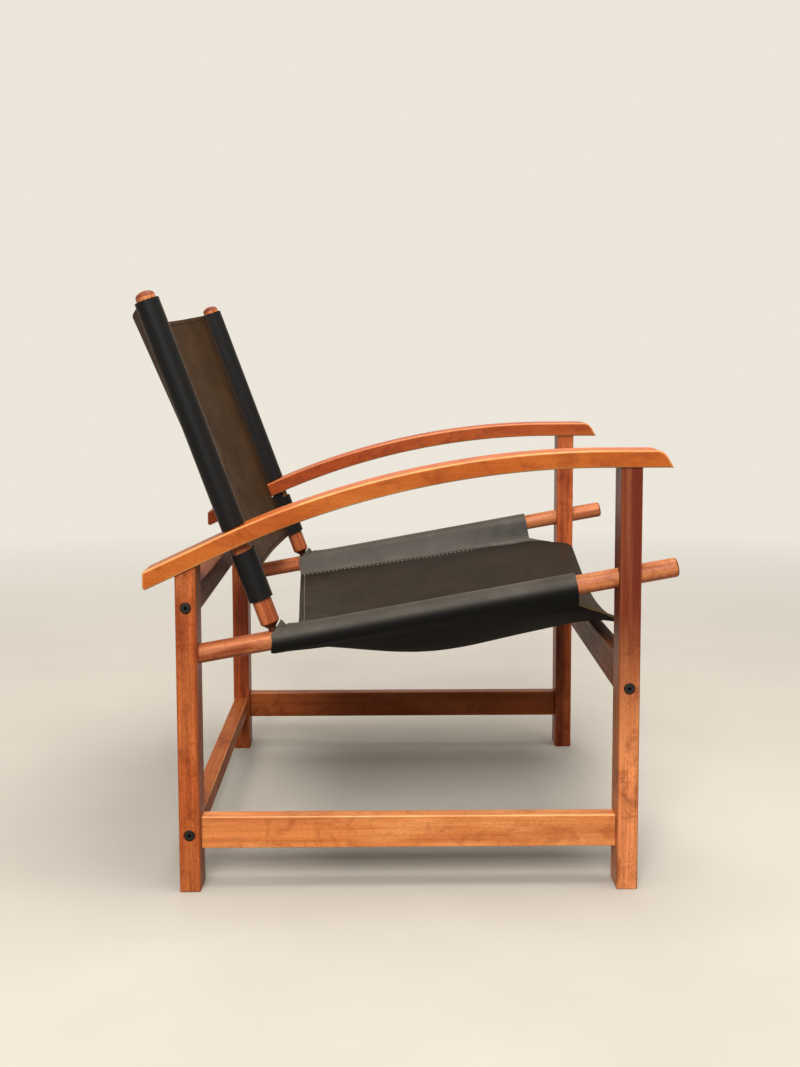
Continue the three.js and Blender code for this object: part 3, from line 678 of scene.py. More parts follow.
# Painted shade: the far stretcher takes a darker copy of the stretcher stain
far_cross_painted_shade_tones = paints((98, 40, 16), (160, 80, 34), (182, 104, 50), (216, 144, 84))
# Painted shade: the rear cross pieces take a darker copy of the stretcher stain
rear_cross_painted_shade_tones = paints((108, 45, 18), (174, 89, 41), (196, 114, 58), (222, 152, 92))
# Painted shade: the front rail takes a darker copy still
front_cross_painted_shade_tones = paints((86, 34, 14), (142, 69, 30), (164, 92, 44), (204, 132, 77))
end_tones = paints((78, 33, 16), (128, 60, 32), (152, 80, 45), (160, 90, 55))
# The peg and its cone: darker end grain with painted shade
peg_grain_and_shade_tones = paints((40, 18, 9), (72, 35, 17), (92, 48, 24), (104, 56, 30))
dowel_tones = paints((176, 132, 88), (206, 164, 116), (220, 184, 140), (226, 194, 152))


def bolt_place(cross, side_y, inward):
    """Middle of a bolt's hole, on the outer face of the leg."""
    height = cross["low"] + cross["bolt_rise"]
    return spot(cross["leg_x"] + LEG_THICKNESS / 2, side_y - inward * LEG_WIDTH / 2, height)


def make_board(name, rings, finish, across, slot, node, *holes):
    """Wooden piece through rings, with its holes and with worn edges."""
    piece = new_piece(name, *loft(rings), finish)
    if holes:
        cut(piece, *holes)
    mark_worn_edges(piece, across)
    dress(smooth(piece), "frame", slot, node)


def rail_drill(side_y):
    start = RAIL_ORIGIN - RAIL_ALONG * (RAIL_SOCKET + JOINT_GAP) + Y_AXIS * side_y
    return drill(start, RAIL_ALONG, RAIL_LENGTH + CUT_MARGIN, RAIL_RADIUS + DRILL_GAP)


def post_drill(side_y):
    start = POST_FOOT + POST_ALONG * SHOULDER_RISE + Y_AXIS * side_y
    return drill(start, POST_ALONG, POST_LENGTH + CUT_MARGIN, POST_RADIUS + DRILL_GAP, ROD_SIDES)


def make_leg(end, side, side_y, inward, x, tones, seed):
    name = f"{end}_leg_{side}"
    banding, fade = (0.45, FADE) if tones is fading_leg_tones else (1.0, None)
    grain = (seed, seed * 0.7, seed * 1.3)
    finish = beech_finish(name, ALONG_Z, grain, *tones, banding=banding, fade=fade)
    sections = [(0, FOOT_CHAMFER), (FOOT_CHAMFER, 0), (FOOT_CHAMFER + FLAT_MARGIN, 0), (None, 0)]

    def place(height, p):
        at_x = x + LEG_THICKNESS / 2 + p.x
        top = arm_height(0, at_x) - JOINT_GAP
        return spot(at_x, side_y + p.y, top if height is None else height)

    rings = ringed(sections, LEG_THICKNESS, LEG_WIDTH, LEG_ROUND, place)
    holes = [rail_drill(side_y)]
    for cross in CROSS_PIECES:
        if cross["leg_x"] == x:
            before = bolt_place(cross, side_y, inward) - Y_AXIS * inward * CUT_MARGIN
            depth = CUT_MARGIN + HEAD_RECESS
            holes.append(drill(before, Y_AXIS * inward, depth, BOLT_HEAD_RADIUS + 3 * DRILL_GAP))
    make_board(f"{name}_bar", rings, finish, X_AXIS, "stained_beech", name, *holes)


def arm_edge(rise, steps=40):
    """Points of a line that follows the armrest, from where it is level back to its rear end."""
    radius = ARM_ARC_RADIUS + rise
    points = []
    for turn in spaced(0, ARM_TURN, steps):
        x = ARM_LEVEL_START - radius * math.sin(turn)
        points.append(Vector((x, ARM_UNDERSIDE - ARM_ARC_RADIUS + radius * math.cos(turn))))
    points.append(Vector((-ARM_REAR_OVERHANG, arm_height(rise, -ARM_REAR_OVERHANG))))
    return points


def corner_arc(before, corner, after, radius, steps=6):
    """Rounding of a corner between two straight edges."""
    back, ahead = (before - corner).normalized(), (after - corner).normalized()
    angle = back.angle(ahead)
    centre = corner + (back + ahead).normalized() * (radius / math.sin(angle / 2))
    start = corner + back * (radius / math.tan(angle / 2)) - centre
    return [centre + Matrix.Rotation(turn, 2) @ start for turn in spaced(0, math.pi - angle, steps)]


def inset_outline(outline, inset, least_share=0.5):
    """Outline moved inwards, for one that runs anticlockwise."""
    moved = []
    for i, point in enumerate(outline):
        into = (point - outline[i - 1]).normalized()
        out = (outline[(i + 1) % len(outline)] - point).normalized()
        along = (into + out).normalized()
        share = max(least_share, along.dot(out))
        moved.append(point + Vector((-along.y, along.x)) * (inset / share))
    return moved


def arm_outline():
    """Armrest seen from its side, anticlockwise from the low corner at the front."""
    top = ARM_UNDERSIDE + ARM_THICKNESS
    nose_x = ARM_FRONT_X - ARM_END_LEAN / ARM_THICKNESS * (ARM_THICKNESS - ARM_NOSE_DROP)
    first = Vector((nose_x, top - ARM_NOSE_DROP))
    bend = Vector((ARM_FRONT_X - ARM_END_LEAN, top))
    last = Vector((nose_x - ARM_NOSE_RUN, top))
    low_front = Vector((ARM_FRONT_X, ARM_UNDERSIDE))
    upper, lower = arm_edge(ARM_THICKNESS), arm_edge(0)
    outline = [low_front]
    for t in spaced(0, 1, NOSE_STEPS):
        outline.append(first * (1 - t) ** 2 + bend * (2 * t * (1 - t)) + last * t**2)
    outline += upper[:-1]
    outline += corner_arc(upper[-2], upper[-1], lower[-1], ARM_REAR_ROUND)
    outline += corner_arc(upper[-1], lower[-1], lower[-2], ARM_REAR_ROUND)
    outline += list(reversed(lower[:-1]))
    return outline


def arm_rings(side_y, steps=6):
    """Outline of an armrest carried across its width, with both edges rounded."""
    outline, radius = arm_outline(), ARM_EDGE_ROUND
    stops = [(0, radius + FLAT_MARGIN)]
    for turn in spaced(0, math.pi / 2, steps):
        stops.append((radius * (1 - math.cos(turn)), radius * (1 - math.sin(turn))))
    stops.append((radius + FLAT_MARGIN, 0))
    stops = both_ends([(at - ARM_WIDTH / 2, inset) for at, inset in stops])
    return [[spot(p.x, side_y + at, p.y) for p in inset_outline(outline, inset)] for at, inset in stops]


def make_armrest(side, side_y, seed):
    name = f"armrest_{side}"
    # The far armrest takes darker tones, as painted shade
    tones = arm_tones if side == "right" else far_arm_painted_shade_tones
    finish = beech_finish(name, ALONG_X, (seed, seed * 1.9, seed * 0.4), *tones, banding=0.35)
    hole = post_drill(side_y)
    make_board(f"{name}_board", arm_rings(side_y), finish, Y_AXIS, "arm_beech", name, hole)


def make_stretcher(side, side_y, seed):
    name = f"side_stretcher_{side}"
    # The far stretcher takes darker tones, as painted shade
    tones = cross_tones if side == "right" else far_cross_painted_shade_tones
    finish = beech_finish(name, ALONG_X, (seed, seed * 0.3, seed * 2.1), *tones, banding=0.5)
    middle = spot(LEG_SPAN / 2, side_y, STRETCHER_FLOOR_GAP + STRETCHER_HEIGHT / 2)
    end = JOINT_GAP - (FRONT_LEG_X - LEG_THICKNESS) / 2
    stops = both_ends([(end, END_EASE), (end + END_EASE, 0), (end + END_EASE + FLAT_MARGIN, 0)])

    def place(at, p):
        return middle + X_AXIS * at + Y_AXIS * p.x + Z_AXIS * p.y

    rings = ringed(stops, STRETCHER_THICKNESS, STRETCHER_HEIGHT, CROSS_ROUND, place)
    make_board(f"{name}_bar", rings, finish, Y_AXIS, "stained_beech", name)


def make_cross_piece(cross):
    """Cross piece with holes for its barrel nuts. The front one is hollowed on top for the tongue."""
    name, x, low, height, half = cross["name"], cross["x"], cross["low"], cross["height"], CROSS_HALF
    front = name == "front_rail"
    # The cross pieces take darker tones than the near stretcher, as painted shade; the front rail's are
    # darkest
    tones = front_cross_painted_shade_tones if front else rear_cross_painted_shade_tones
    hollow, count = (FRONT_HOLLOW, HOLLOW_STEPS) if front else (0, 1)
    seed = 0.31 + x
    grain = (seed, seed * 1.7, seed * 0.6)
    finish = beech_finish(name, ALONG_Y, grain, *tones, banding=0.5, shine=0.04)
    stops = [(-half, END_EASE), (-half + END_EASE, 0)]
    stops += [(at, 0) for at in spaced(-half + 2 * END_EASE, half - 2 * END_EASE, count)]
    stops += [(half - END_EASE, 0), (half, END_EASE)]

    def place(at, p):
        drop = hollow * (1 - (at / half) ** 2) if p.y > 0 else 0
        return spot(x + p.x, at, low + height / 2 + p.y - drop)

    rings = ringed(stops, cross["thickness"], height, CROSS_ROUND, place)
    holes = []
    for _, _, inward in SIDES:
        nut = spot(cross["leg_x"] + LEG_THICKNESS / 2, -inward * (half - NUT_SETBACK), low - CUT_MARGIN)
        depth = CUT_MARGIN + cross["bolt_rise"] + NUT_LENGTH / 2 + DRILL_GAP
        holes.append(drill(nut, Z_AXIS, depth, NUT_RADIUS + DRILL_GAP))
    make_board(f"{name}_bar", rings, finish, X_AXIS, "stained_beech", name, *holes)


def make_rail(side, side_y, seed):
    name = f"seat_rail_{side}"
    finish = beech_finish(name, ALONG_RAIL, (seed, seed * 0.8, seed * 1.1), *rail_tones)
    end_grain = beech_finish(f"{name}_end", ALONG_Y, (seed, seed, seed), *end_tones)
    tip = RAIL_LENGTH - RAIL_TIP_ROUND
    profile = [(0, 0), (RAIL_RADIUS, 0), (RAIL_RADIUS, tip - FLAT_MARGIN)]
    profile += rounding(RAIL_TIP_ROUND, RAIL_RADIUS - RAIL_TIP_ROUND, tip, 0, 90, RAIL_TIP_STEPS)
    profile += [(RAIL_RADIUS - RAIL_TIP_ROUND - FLAT_MARGIN, RAIL_LENGTH), (0, RAIL_LENGTH)]
    start = RAIL_ORIGIN - RAIL_ALONG * RAIL_SOCKET + Y_AXIS * side_y
    rail = turned(f"{name}_rod", profile, start, RAIL_ALONG, ROD_SIDES, finish)
    finish_part(rail, start, RAIL_ALONG, tip + RAIL_TIP_ROUND / 2, math.inf, end_grain)
    peg_start = POST_FOOT - POST_ALONG * (PEG_PAST_AXIS + DRILL_GAP) + Y_AXIS * side_y
    depth = SHOULDER_RISE + PEG_PAST_AXIS
    cut(rail, drill(peg_start, POST_ALONG, depth, PEG_RADIUS + DRILL_GAP, PEG_HOLE_SIDES))
    dress(smooth(rail), "frame", "arm_beech", name)


def make_post(side, side_y, seed):
    name = f"back_post_{side}"
    finish = beech_finish(name, ALONG_POST, (seed, seed * 1.4, seed * 0.9), *rail_tones)
    # The peg's very dark tone is partly end grain and partly painted shade
    peg_grain_and_shade = beech_finish(f"{name}_peg", ALONG_POST, (seed, seed, seed), *peg_grain_and_shade_tones)
    end_grain = beech_finish(f"{name}_end", ALONG_Y, (seed, seed, seed), *end_tones)
    shoulder = SHOULDER_RISE + PEG_PAST_AXIS
    top = shoulder + POST_LENGTH
    cone = shoulder - (POST_RADIUS - PEG_RADIUS)
    profile = [(0, 0), (PEG_RADIUS - PEG_CHAMFER, 0), (PEG_RADIUS, PEG_CHAMFER)]
    profile += [(PEG_RADIUS, cone - FLAT_MARGIN), (PEG_RADIUS, cone)]
    profile += [(POST_RADIUS - END_EASE, shoulder - END_EASE), (POST_RADIUS, shoulder + POST_SHOULDER_BLEND)]
    profile += [(POST_RADIUS, shoulder + POST_RING_GAP), (POST_RADIUS, top - POST_DOME - POST_RING_GAP)]
    for turn in spaced(0, math.pi / 2, DOME_STEPS)[:-1]:
        profile.append((POST_RADIUS * math.cos(turn), top - POST_DOME * (1 - math.sin(turn))))
    profile.append((0, top))
    tip = POST_FOOT - POST_ALONG * PEG_PAST_AXIS + Y_AXIS * side_y
    post = turned(f"{name}_rod", profile, tip, POST_ALONG, ROD_SIDES, finish)
    finish_part(post, tip, POST_ALONG, -math.inf, shoulder - END_EASE / 2, peg_grain_and_shade)
    finish_part(post, tip, POST_ALONG, top - POST_DOME, math.inf, end_grain)
    dress(smooth(post), name, "arm_beech", name)


# Bolts
def make_bolt(cross, side, side_y, inward, finish, socket_finish):
    name = f"{cross['bolts']}_bolt_{side}"
    along = Y_AXIS * inward
    face = bolt_place(cross, side_y, inward) + along * JOINT_GAP
    flat = BOLT_HEAD_RADIUS - BOLT_HEAD_ROUND
    tip = BOLT_HEAD_THICKNESS + BOLT_LENGTH
    profile = [(0, 0), (flat - FLAT_MARGIN, 0)]
    profile += rounding(BOLT_HEAD_ROUND, flat, BOLT_HEAD_ROUND, -90, 0, BOLT_HEAD_STEPS)
    profile += [(BOLT_HEAD_RADIUS, BOLT_HEAD_THICKNESS), (BOLT_RADIUS, BOLT_HEAD_THICKNESS)]
    profile += [(BOLT_RADIUS, tip - BOLT_TIP_CHAMFER), (BOLT_RADIUS - BOLT_TIP_CHAMFER, tip), (0, tip)]
    bolt = turned(f"{name}_screw", profile, face, along, BOLT_SIDES, finish, socket_finish)
    # The socket's walls take the near-black second finish, as painted shade in the hole
    depth, reach = CUT_MARGIN + BOLT_SOCKET_DEPTH, BOLT_SOCKET_WIDTH / math.sqrt(3)
    socket = drill(face - along * CUT_MARGIN, along, depth, reach, SOCKET_SIDES, finish, socket_finish)
    cut(bolt, line_with_second(socket))
    dress(smooth(bolt), "frame", "black_steel", name)


# Leather
def straight(first, last, steps, crown):
    """Straight part of a sling's section, without its last point."""
    return [(*first.lerp(last, way), 1.0, crown) for way in spaced(0, 1, steps)[:-1]]


def sling_half(ring, lean, shares, sheet_depth, flap_depth):
    """Half of a sling's section: distance across, depth, share of the half width, height on the sleeve."""
    seam_y = SIDE_Y - ring - lean
    drop, flap_drop = flap_depth(1.0), flap_depth(1 - FLAP / seam_y)
    slope = (flap_drop - drop) / FLAP
    off = (LEATHER + SEAM_GAP) / math.hypot(1, slope)
    flap_seam = Vector((seam_y + slope * off, drop + off))
    flap_end = Vector((seam_y - FLAP + slope * off, flap_drop + off))
    reach = math.hypot(SIDE_Y - flap_seam.x, flap_seam.y)
    start = math.atan2(flap_seam.y, SIDE_Y - flap_seam.x) + math.acos(min(1, ring / reach))
    touch = Vector((SIDE_Y - ring * math.cos(start), ring * math.sin(start)))
    away = math.hypot(SIDE_Y - seam_y, drop)
    leave = 2 * math.pi + math.atan2(drop, SIDE_Y - seam_y) - math.acos(min(1, ring / away))
    loose = Vector((SIDE_Y - ring * math.cos(leave), ring * math.sin(leave)))
    half = straight(flap_end, flap_seam, FLAP_STEPS, -1.0) + straight(flap_seam, touch, TUCK_STEPS, -1.0)
    for turn in spaced(start, leave, WRAP_STEPS)[:-1]:
        half.append((SIDE_Y - ring * math.cos(turn), ring * math.sin(turn), 1.0, -math.sin(turn)))
    half += straight(loose, Vector((seam_y, drop)), RISE_STEPS, 0.0)
    half += [(seam_y * share, sheet_depth(share), share, 0.0) for share in shares]
    return half


def soften(half, turns=14, reach=4, share=0.5):
    """Rounds the folds of a section where the leather bends over, by evening out the points near them."""
    places = [Vector(entry[:2]) for entry in half]
    for _ in range(turns):
        before = [p.copy() for p in places]
        for bend in (FLAP_STEPS, SLEEVE_COLUMNS):
            for i in range(bend - reach, bend + reach + 1):
                if 0 < i < len(places) - 1:
                    places[i] = before[i].lerp((before[i - 1] + before[i + 1]) / 2, share)
    return [(*place, *entry[2:]) for place, entry in zip(places, half)]


def sheet_rows(stations, section_at, place):
    """Grid of points of a sling, a row for each station from one end to the other."""
    rows = []
    for station in stations:
        left, right = (soften(section_at(station, side)) for side in ("left", "right"))
        ends = [(1, entry) for entry in left] + [(-1, entry) for entry in reversed(right[:-1])]
        rows.append([place(station, sign * y, *others) for sign, (y, *others) in ends])
    return rows


def make_sheet(name, rows, seam_y, *finishes):
    """Closed leather sheet round a grid of points.
    The finishes are for face, cut edge and flesh side, first of the sleeves and then of the sheet."""
    count = len(rows[0])
    faces = []
    for i in range(len(rows) - 1):
        for j in range(count - 1):
            faces.append((i * count + j, i * count + j + 1, (i + 1) * count + j + 1, (i + 1) * count + j))
    sheet = new_piece(name, [p for row in rows for p in row], faces, *finishes)
    sheet_y = seam_y - STITCH_FROM_SEAM + SHEET_PAST_STITCH
    for face in sheet.data.polygons:
        column = face.vertices[0] % count
        if SLEEVE_COLUMNS <= column < count - SLEEVE_COLUMNS and abs(face.center.y) < sheet_y:
            face.material_index = len(finishes) // 2
    wall = sheet.modifiers.new("thickness", "SOLIDIFY")
    wall.thickness, wall.offset = LEATHER, 0
    wall.use_even_offset, wall.use_rim = True, True
    wall.material_offset, wall.material_offset_rim = 2, 1
    return settle(sheet)


def even_steps(start, end, size):
    """Even steps of about a size, without the start."""
    return spaced(start, end, max(1, round((end - start) / size)))[1:]


def rippled(point, inside, away, pulls, waves):
    """Moves a point of a sheet by small pulls beside the seam and broad waves further in."""
    pulled = math.exp(-inside / PULL_REACH) * min(1, inside / PULL_START)
    waved = min(1, inside / WAVE_START)
    for share, (height, size, seed) in ((pulled, pulls), (waved, waves)):
        place = Vector((point.x / size, point.y / size, point.z / size)) + Vector((seed, seed, seed))
        point = point + away * (height * share * noise.noise(place))
    return point


def seat_rows():
    """Grid of the seat's leather, from its rear end to the front of its tongue."""
    seam_y = SIDE_Y - SEAT_RING
    tip = 1 + TONGUE / SEAT_LENGTH
    leg_inset = max(0, seam_y - INNER_Y) + TONGUE_LEG_GAP
    taper = SEAT_FRONT_GAP - TONGUE_TAPER_GAP
    peg_reach = PEG_RADIUS + DRILL_GAP + PEG_NOTCH_GAP + LEATHER * math.tan(POST_LEAN)
    rail_lean = RAIL_RADIUS * math.tan(POST_LEAN)
    notch = {side: past - rail_lean + peg_reach for side, past in SEAT_PAST_POST.items()}
    tongue_side = leg_inset + TONGUE_SIDE_LEAN
    corner = leg_inset + TONGUE_CORNER
    from_seam = [0] + even_steps(0, leg_inset, EDGE_STEP)
    from_seam += even_steps(leg_inset, tongue_side, TONGUE_SIDE_STEP)
    from_seam += even_steps(tongue_side, corner, TONGUE_CORNER_STEP)
    from_seam += even_steps(corner, seam_y, SHEET_STEP)
    shares = [1 - distance / seam_y for distance in from_seam]

    def sag_at(share):
        if share < SEAT_DEEPEST_SHARE:
            rise = math.sin(math.pi / 2 * share / SEAT_DEEPEST_SHARE)
            return SEAT_SAG_REAR + (SEAT_SAG_DEEPEST - SEAT_SAG_REAR) * rise
        t = min(1, (share - SEAT_DEEPEST_SHARE) / (tip - SEAT_DEEPEST_SHARE))
        return SEAT_SAG_DEEPEST + (SEAT_SAG_FRONT - SEAT_SAG_DEEPEST) * t * t * (3 - 2 * t)

    def tongue_at(share):
        from_side = seam_y * (1 - share) - leg_inset
        if from_side < TONGUE_SIDE_LEAN / 2:
            return taper * (1 + from_side / leg_inset)
        short = max(0, TONGUE_CORNER - from_side)
        hollow = TONGUE_HOLLOW * (1 - share * share) ** 2
        return TONGUE - hollow - TONGUE_CORNER + math.sqrt(TONGUE_CORNER**2 - short**2)

    def length_at(station, share, side, low=0):
        across = share if side == "left" else -share
        rear = SEAT_SHORTER * (1 - across) / 2 * (1 - low)
        rear += (SEAT_REAR_BOW - SEAT_REAR_SKEW * across) * (1 - share * share)
        return rear + (SEAT_LENGTH + tongue_at(share) - rear) * station

    def depth_at(length, share, side):
        past = max(0, length - SEAT_LENGTH) / TONGUE
        droop = TONGUE_DROOP[side] * past**TONGUE_CURL * share * share
        middle = sum(SEAT_DROP_FRONT.values()) / 2
        front = middle + (SEAT_DROP_FRONT[side] - middle) * share * share
        drop = SEAT_DROP_REAR + (front - SEAT_DROP_REAR) * max(0, min(1, length / SEAT_LENGTH))
        return drop + droop + sag_at(length / SEAT_LENGTH) * (1 - share * share)

    def section_at(station, side):
        upright = max(0, min(1, (station - SEAT_UPRIGHT_FROM) / SEAT_UPRIGHT_RUN))
        return sling_half(
            SEAT_RING,
            SEAT_SEAM_LEAN * (1 - SEAT_UPRIGHT_SHARE * upright * upright * (3 - 2 * upright)),
            shares,
            lambda share: depth_at(length_at(station, share, side), share, side),
            lambda share: depth_at(length_at(station, 1, side), share, side),
        )

    def raised_at(from_end, crown):
        """How far the ear at the rear end and the loose leather behind its slit stand off the rail."""
        ear = EAR_RISE * math.exp(-((from_end / EAR_LENGTH) ** 2))
        slit = math.exp(-(((from_end - EAR_NOTCH) / EAR_SLIT) ** 2))
        loose = LOOSE_RISE * math.exp(-from_end / LOOSE_LENGTH) * (1 - slit)
        return (ear + loose) * ((crown - EAR_CROWN) / (1 - EAR_CROWN)) ** 2

    def place(station, y, depth, share, crown):
        side = "left" if y > 0 else "right"
        from_end = station * SEAT_LENGTH
        length = length_at(station, share, side, max(0, -crown))
        shift = notch[side] * max(0, crown - PEG_NOTCH_CROWN) / (1 - PEG_NOTCH_CROWN)
        along = SEAT_START + length + shift * max(0, 1 - from_end / PEG_NOTCH_RUN)
        point = RAIL_ORIGIN + RAIL_ALONG * along + RAIL_DOWN * depth + Y_AXIS * y
        if crown > EAR_CROWN and from_end < LOOSE_END:
            point -= RAIL_DOWN * raised_at(from_end, crown)
        inside = seam_y - abs(y)
        if inside > 0 and depth > SEAT_DROP_REAR * SHEET_DEPTH_SHARE:
            point = rippled(point, inside, RAIL_DOWN, SEAT_PULLS, SEAT_WAVES)
        return point

    close = [SEAT_REAR_STEP * step / SEAT_LENGTH for step in range(SEAT_REAR_STEPS + 1)]
    stations = close + even_steps(close[-1], 1, SEAT_ROW_SHARE)
    return sheet_rows(stations, section_at, place)


def back_rows():
    """Grid of the back's leather, from its foot to its top."""
    seam_y = SIDE_Y - BACK_RING
    foot = SHOULDER_RISE + BACK_FOOT_GAP
    length = POST_LENGTH - BACK_FOOT_GAP - BACK_TOP_GAP
    from_seam = [0] + even_steps(0, BACK_EDGE_WIDTH, EDGE_STEP)
    from_seam += even_steps(BACK_EDGE_WIDTH, seam_y, SHEET_STEP)
    shares = [1 - distance / seam_y for distance in from_seam]

    def section_at(station, _):
        sag = BACK_SAG_FOOT + (BACK_SAG_TOP - BACK_SAG_FOOT) * station
        def depth_at(share):
            return BACK_DROP + sag * (1 - share * share)
        return sling_half(BACK_RING, BACK_SEAM_LEAN, shares, depth_at, depth_at)

    def place(station, y, depth, *_):
        along = foot + length * station
        point = POST_FOOT + POST_ALONG * along + POST_BEHIND * depth + Y_AXIS * y
        inside = seam_y - abs(y)
        if inside > 0 and depth > BACK_DROP * SHEET_DEPTH_SHARE:
            point = rippled(point, inside, POST_BEHIND, BACK_PULLS, BACK_WAVES)
        return point

    return sheet_rows(spaced(0, 1, BACK_STEPS), section_at, place)


def cut_windows(back, edge):
    """Opens the back's sleeves where the armrests pass, and a little further below them at the posts."""
    openings = [
        (-WINDOW_ABOVE, ARM_THICKNESS + WINDOW_ABOVE, ARM_WIDTH / 2 + WINDOW_INSET),
        (-WINDOW_BELOW, WINDOW_OVERLAP, WINDOW_POST_INSET),
    ]
    windows = []
    for _, side_y, inward in SIDES:
        outer = side_y - inward * (ARM_WIDTH / 2 + LEG_WIDTH)
        for low, high, inset in openings:
            outline = arm_edge(high) + list(reversed(arm_edge(low)))
            across = sorted((side_y + inward * inset, outer))
            rings = [[spot(p.x, y, p.y) for p in outline] for y in across]
            windows.append(line_with_second(new_piece("window", *loft(rings), edge, edge)))
    cut(back, *windows)


def stitch_tree():
    """Stitches set along a line: pitch, length of a stitch and thickness of the thread are inputs."""
    tree = bpy.data.node_groups.new("stitches", "GeometryNodeTree")
    face = tree.interface
    face.new_socket("Line", in_out="INPUT", socket_type="NodeSocketGeometry")
    sockets = {}
    for name in ("Pitch", "Stitch length", "Thread thickness"):
        sockets[name] = face.new_socket(name, in_out="INPUT", socket_type="NodeSocketFloat").identifier
    thread = face.new_socket("Thread", in_out="INPUT", socket_type="NodeSocketMaterial")
    sockets["Thread"] = thread.identifier
    face.new_socket("Stitches", in_out="OUTPUT", socket_type="NodeSocketGeometry")
    given = add_node(tree, "NodeGroupInput").outputs
    curve = add_node(tree, "GeometryNodeMeshToCurve", {"Mesh": given["Line"]}).outputs["Curve"]
    inputs = {"Curve": curve, "Length": given["Pitch"]}
    spots = add_node(tree, "GeometryNodeCurveToPoints", inputs, mode="LENGTH").outputs
    inputs = {"Segments": BEAD_SEGMENTS, "Rings": BEAD_RINGS, "Radius": 0.5}
    bead = add_node(tree, "GeometryNodeMeshUVSphere", inputs).outputs["Mesh"]
    inputs = {"Vector": spots["Tangent"]}
    turn = add_node(tree, "FunctionNodeAlignRotationToVector", inputs, axis="X").outputs["Rotation"]
    inputs = {"X": given["Stitch length"], "Y": given["Thread thickness"], "Z": given["Thread thickness"]}
    size = add_node(tree, "ShaderNodeCombineXYZ", inputs).outputs["Vector"]
    inputs = {"Points": spots["Points"], "Instance": bead, "Rotation": turn, "Scale": size}
    placed = add_node(tree, "GeometryNodeInstanceOnPoints", inputs).outputs["Instances"]
    real = add_node(tree, "GeometryNodeRealizeInstances", {"Geometry": placed}).outputs["Geometry"]
    soft = add_node(tree, "GeometryNodeSetShadeSmooth", {"Geometry": real}).outputs["Geometry"]
    inputs = {"Geometry": soft, "Material": given["Thread"]}
    done = add_node(tree, "GeometryNodeSetMaterial", inputs).outputs["Geometry"]
    add_node(tree, "NodeGroupOutput", {"Stitches": done})
    return tree, sockets


def make_stitches(name, lines, thread, sizes, tree, sockets):
    edges, first = [], 0
    for line in lines:
        edges += [(first + i, first + i + 1) for i in range(len(line) - 1)]
        first += len(line)
    mesh = bpy.data.meshes.new(name)
    mesh.from_pydata([tuple(p) for line in lines for p in line], edges, [])
    piece = add_object(name, mesh)
    sewing = piece.modifiers.new("sewing", "NODES")
    sewing.node_group = tree
    for size, value in sizes.items():
        sewing[sockets[size]] = value
    sewing[sockets["Thread"]] = thread
    return settle(piece)


def on_face(rows, i, j, towards):
    """Point on the face of the leather that looks towards a side, beside a point of the grid."""
    last_i, last_j = len(rows) - 1, len(rows[0]) - 1
    along = rows[min(i + 1, last_i)][j] - rows[max(i - 1, 0)][j]
    across = rows[i][min(j + 1, last_j)] - rows[i][max(j - 1, 0)]
    normal = along.cross(across).normalized()
    if normal.dot(towards) < 0:
        normal = -normal
    return rows[i][j] + normal * (LEATHER / 2 + STITCH_LIFT)


def stitched_columns(rows, seam_y):
    """Columns of the sheet that lie where the stitches run, on the left and on the right."""
    row = rows[len(rows) // 2]
    columns = range(SLEEVE_COLUMNS, len(row) // 2)
    best = min(columns, key=lambda j: abs(seam_y - abs(row[j].y) - STITCH_FROM_SEAM))
    return best, len(row) - 1 - best


def hem_line(rows, i, left, right, towards):
    """Line of stitches along a hem, from one seam to the other."""
    columns = range(left + HEM_END_COLUMNS, right - HEM_END_COLUMNS + 1)
    return [on_face(rows, i, j, towards) for j in columns]


def make_seat_sling(edge, tree, sockets):
    seam_y = SIDE_Y - SEAT_RING - SEAT_SEAM_LEAN
    # The seat sheet's tone is the leather's dark brown with a painted reflection of warm surroundings
    tones = (*paints((14, 14, 13), (40, 31, 21)), seam_y)
    # Painted highlight: the pale tone on top of the seat sleeve stands in for light from above
    painted_highlight_tone = paint(77, 70, 62)
    sleeve = leather_finish("leather_seat_sleeve", *tones, shine=0.18, low=0.42, high=0.55, painted_highlight_tone=painted_highlight_tone)
    sheet = leather_finish("leather_seat_sheet", *tones, shine=0.12, low=0.46, high=0.60)
    # Painted shade: the seat's flesh side takes a far darker tone than the back's, for the shade under the
    # seat
    underside = fibre_finish("leather_seat_underside", *paints((12, 10, 10), (28, 23, 20)), **LEATHER_FIBRES)
    thread = fibre_finish("thread_pale", *paints((94, 84, 68), (150, 138, 114)), **THREAD_TWIST)
    rows = seat_rows()
    seat = make_sheet("seat_leather", rows, seam_y, sleeve, edge, underside, sheet, edge, underside)
    left, right = stitched_columns(rows, seam_y)
    sewn = range(SEAT_HEM_ROW, len(rows) - SEAT_LAST_ROWS)
    lines = [[on_face(rows, i, j, -RAIL_DOWN) for i in sewn] for j in (left, right)]
    lines.append(hem_line(rows, SEAT_HEM_ROW, left, right, -RAIL_DOWN))
    seat_stitches = make_stitches("seat_stitches", lines, thread, SEAT_SEWING, tree, sockets)
    dress(smooth(seat, SLING_CREASE), "frame", "leather", "seat_sling")
    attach(seat_stitches, "frame")


def back_seam_lines(rows, left, right):
    """Lines of the back's seams, on its face and on the flaps behind it, parted by the windows."""
    flap = FLAP_STEPS // 2
    flaps = (flap, len(rows[0]) - 1 - flap)
    lines = []
    for j in (left, right, *flaps):
        towards = POST_BEHIND if j in flaps else -POST_BEHIND
        faces = [on_face(rows, i, j, towards) for i in range(len(rows))]
        over, under = ARM_THICKNESS + STITCH_OVER_ARM, -WINDOW_BELOW - STITCH_UNDER_WINDOW
        above = [p for p in faces if p.z > arm_height(over, p.x - rear_face)]
        below = [p for p in faces if p.z < arm_height(under, p.x - rear_face)]
        lines += [above[:-1], below[1:]]
    return lines


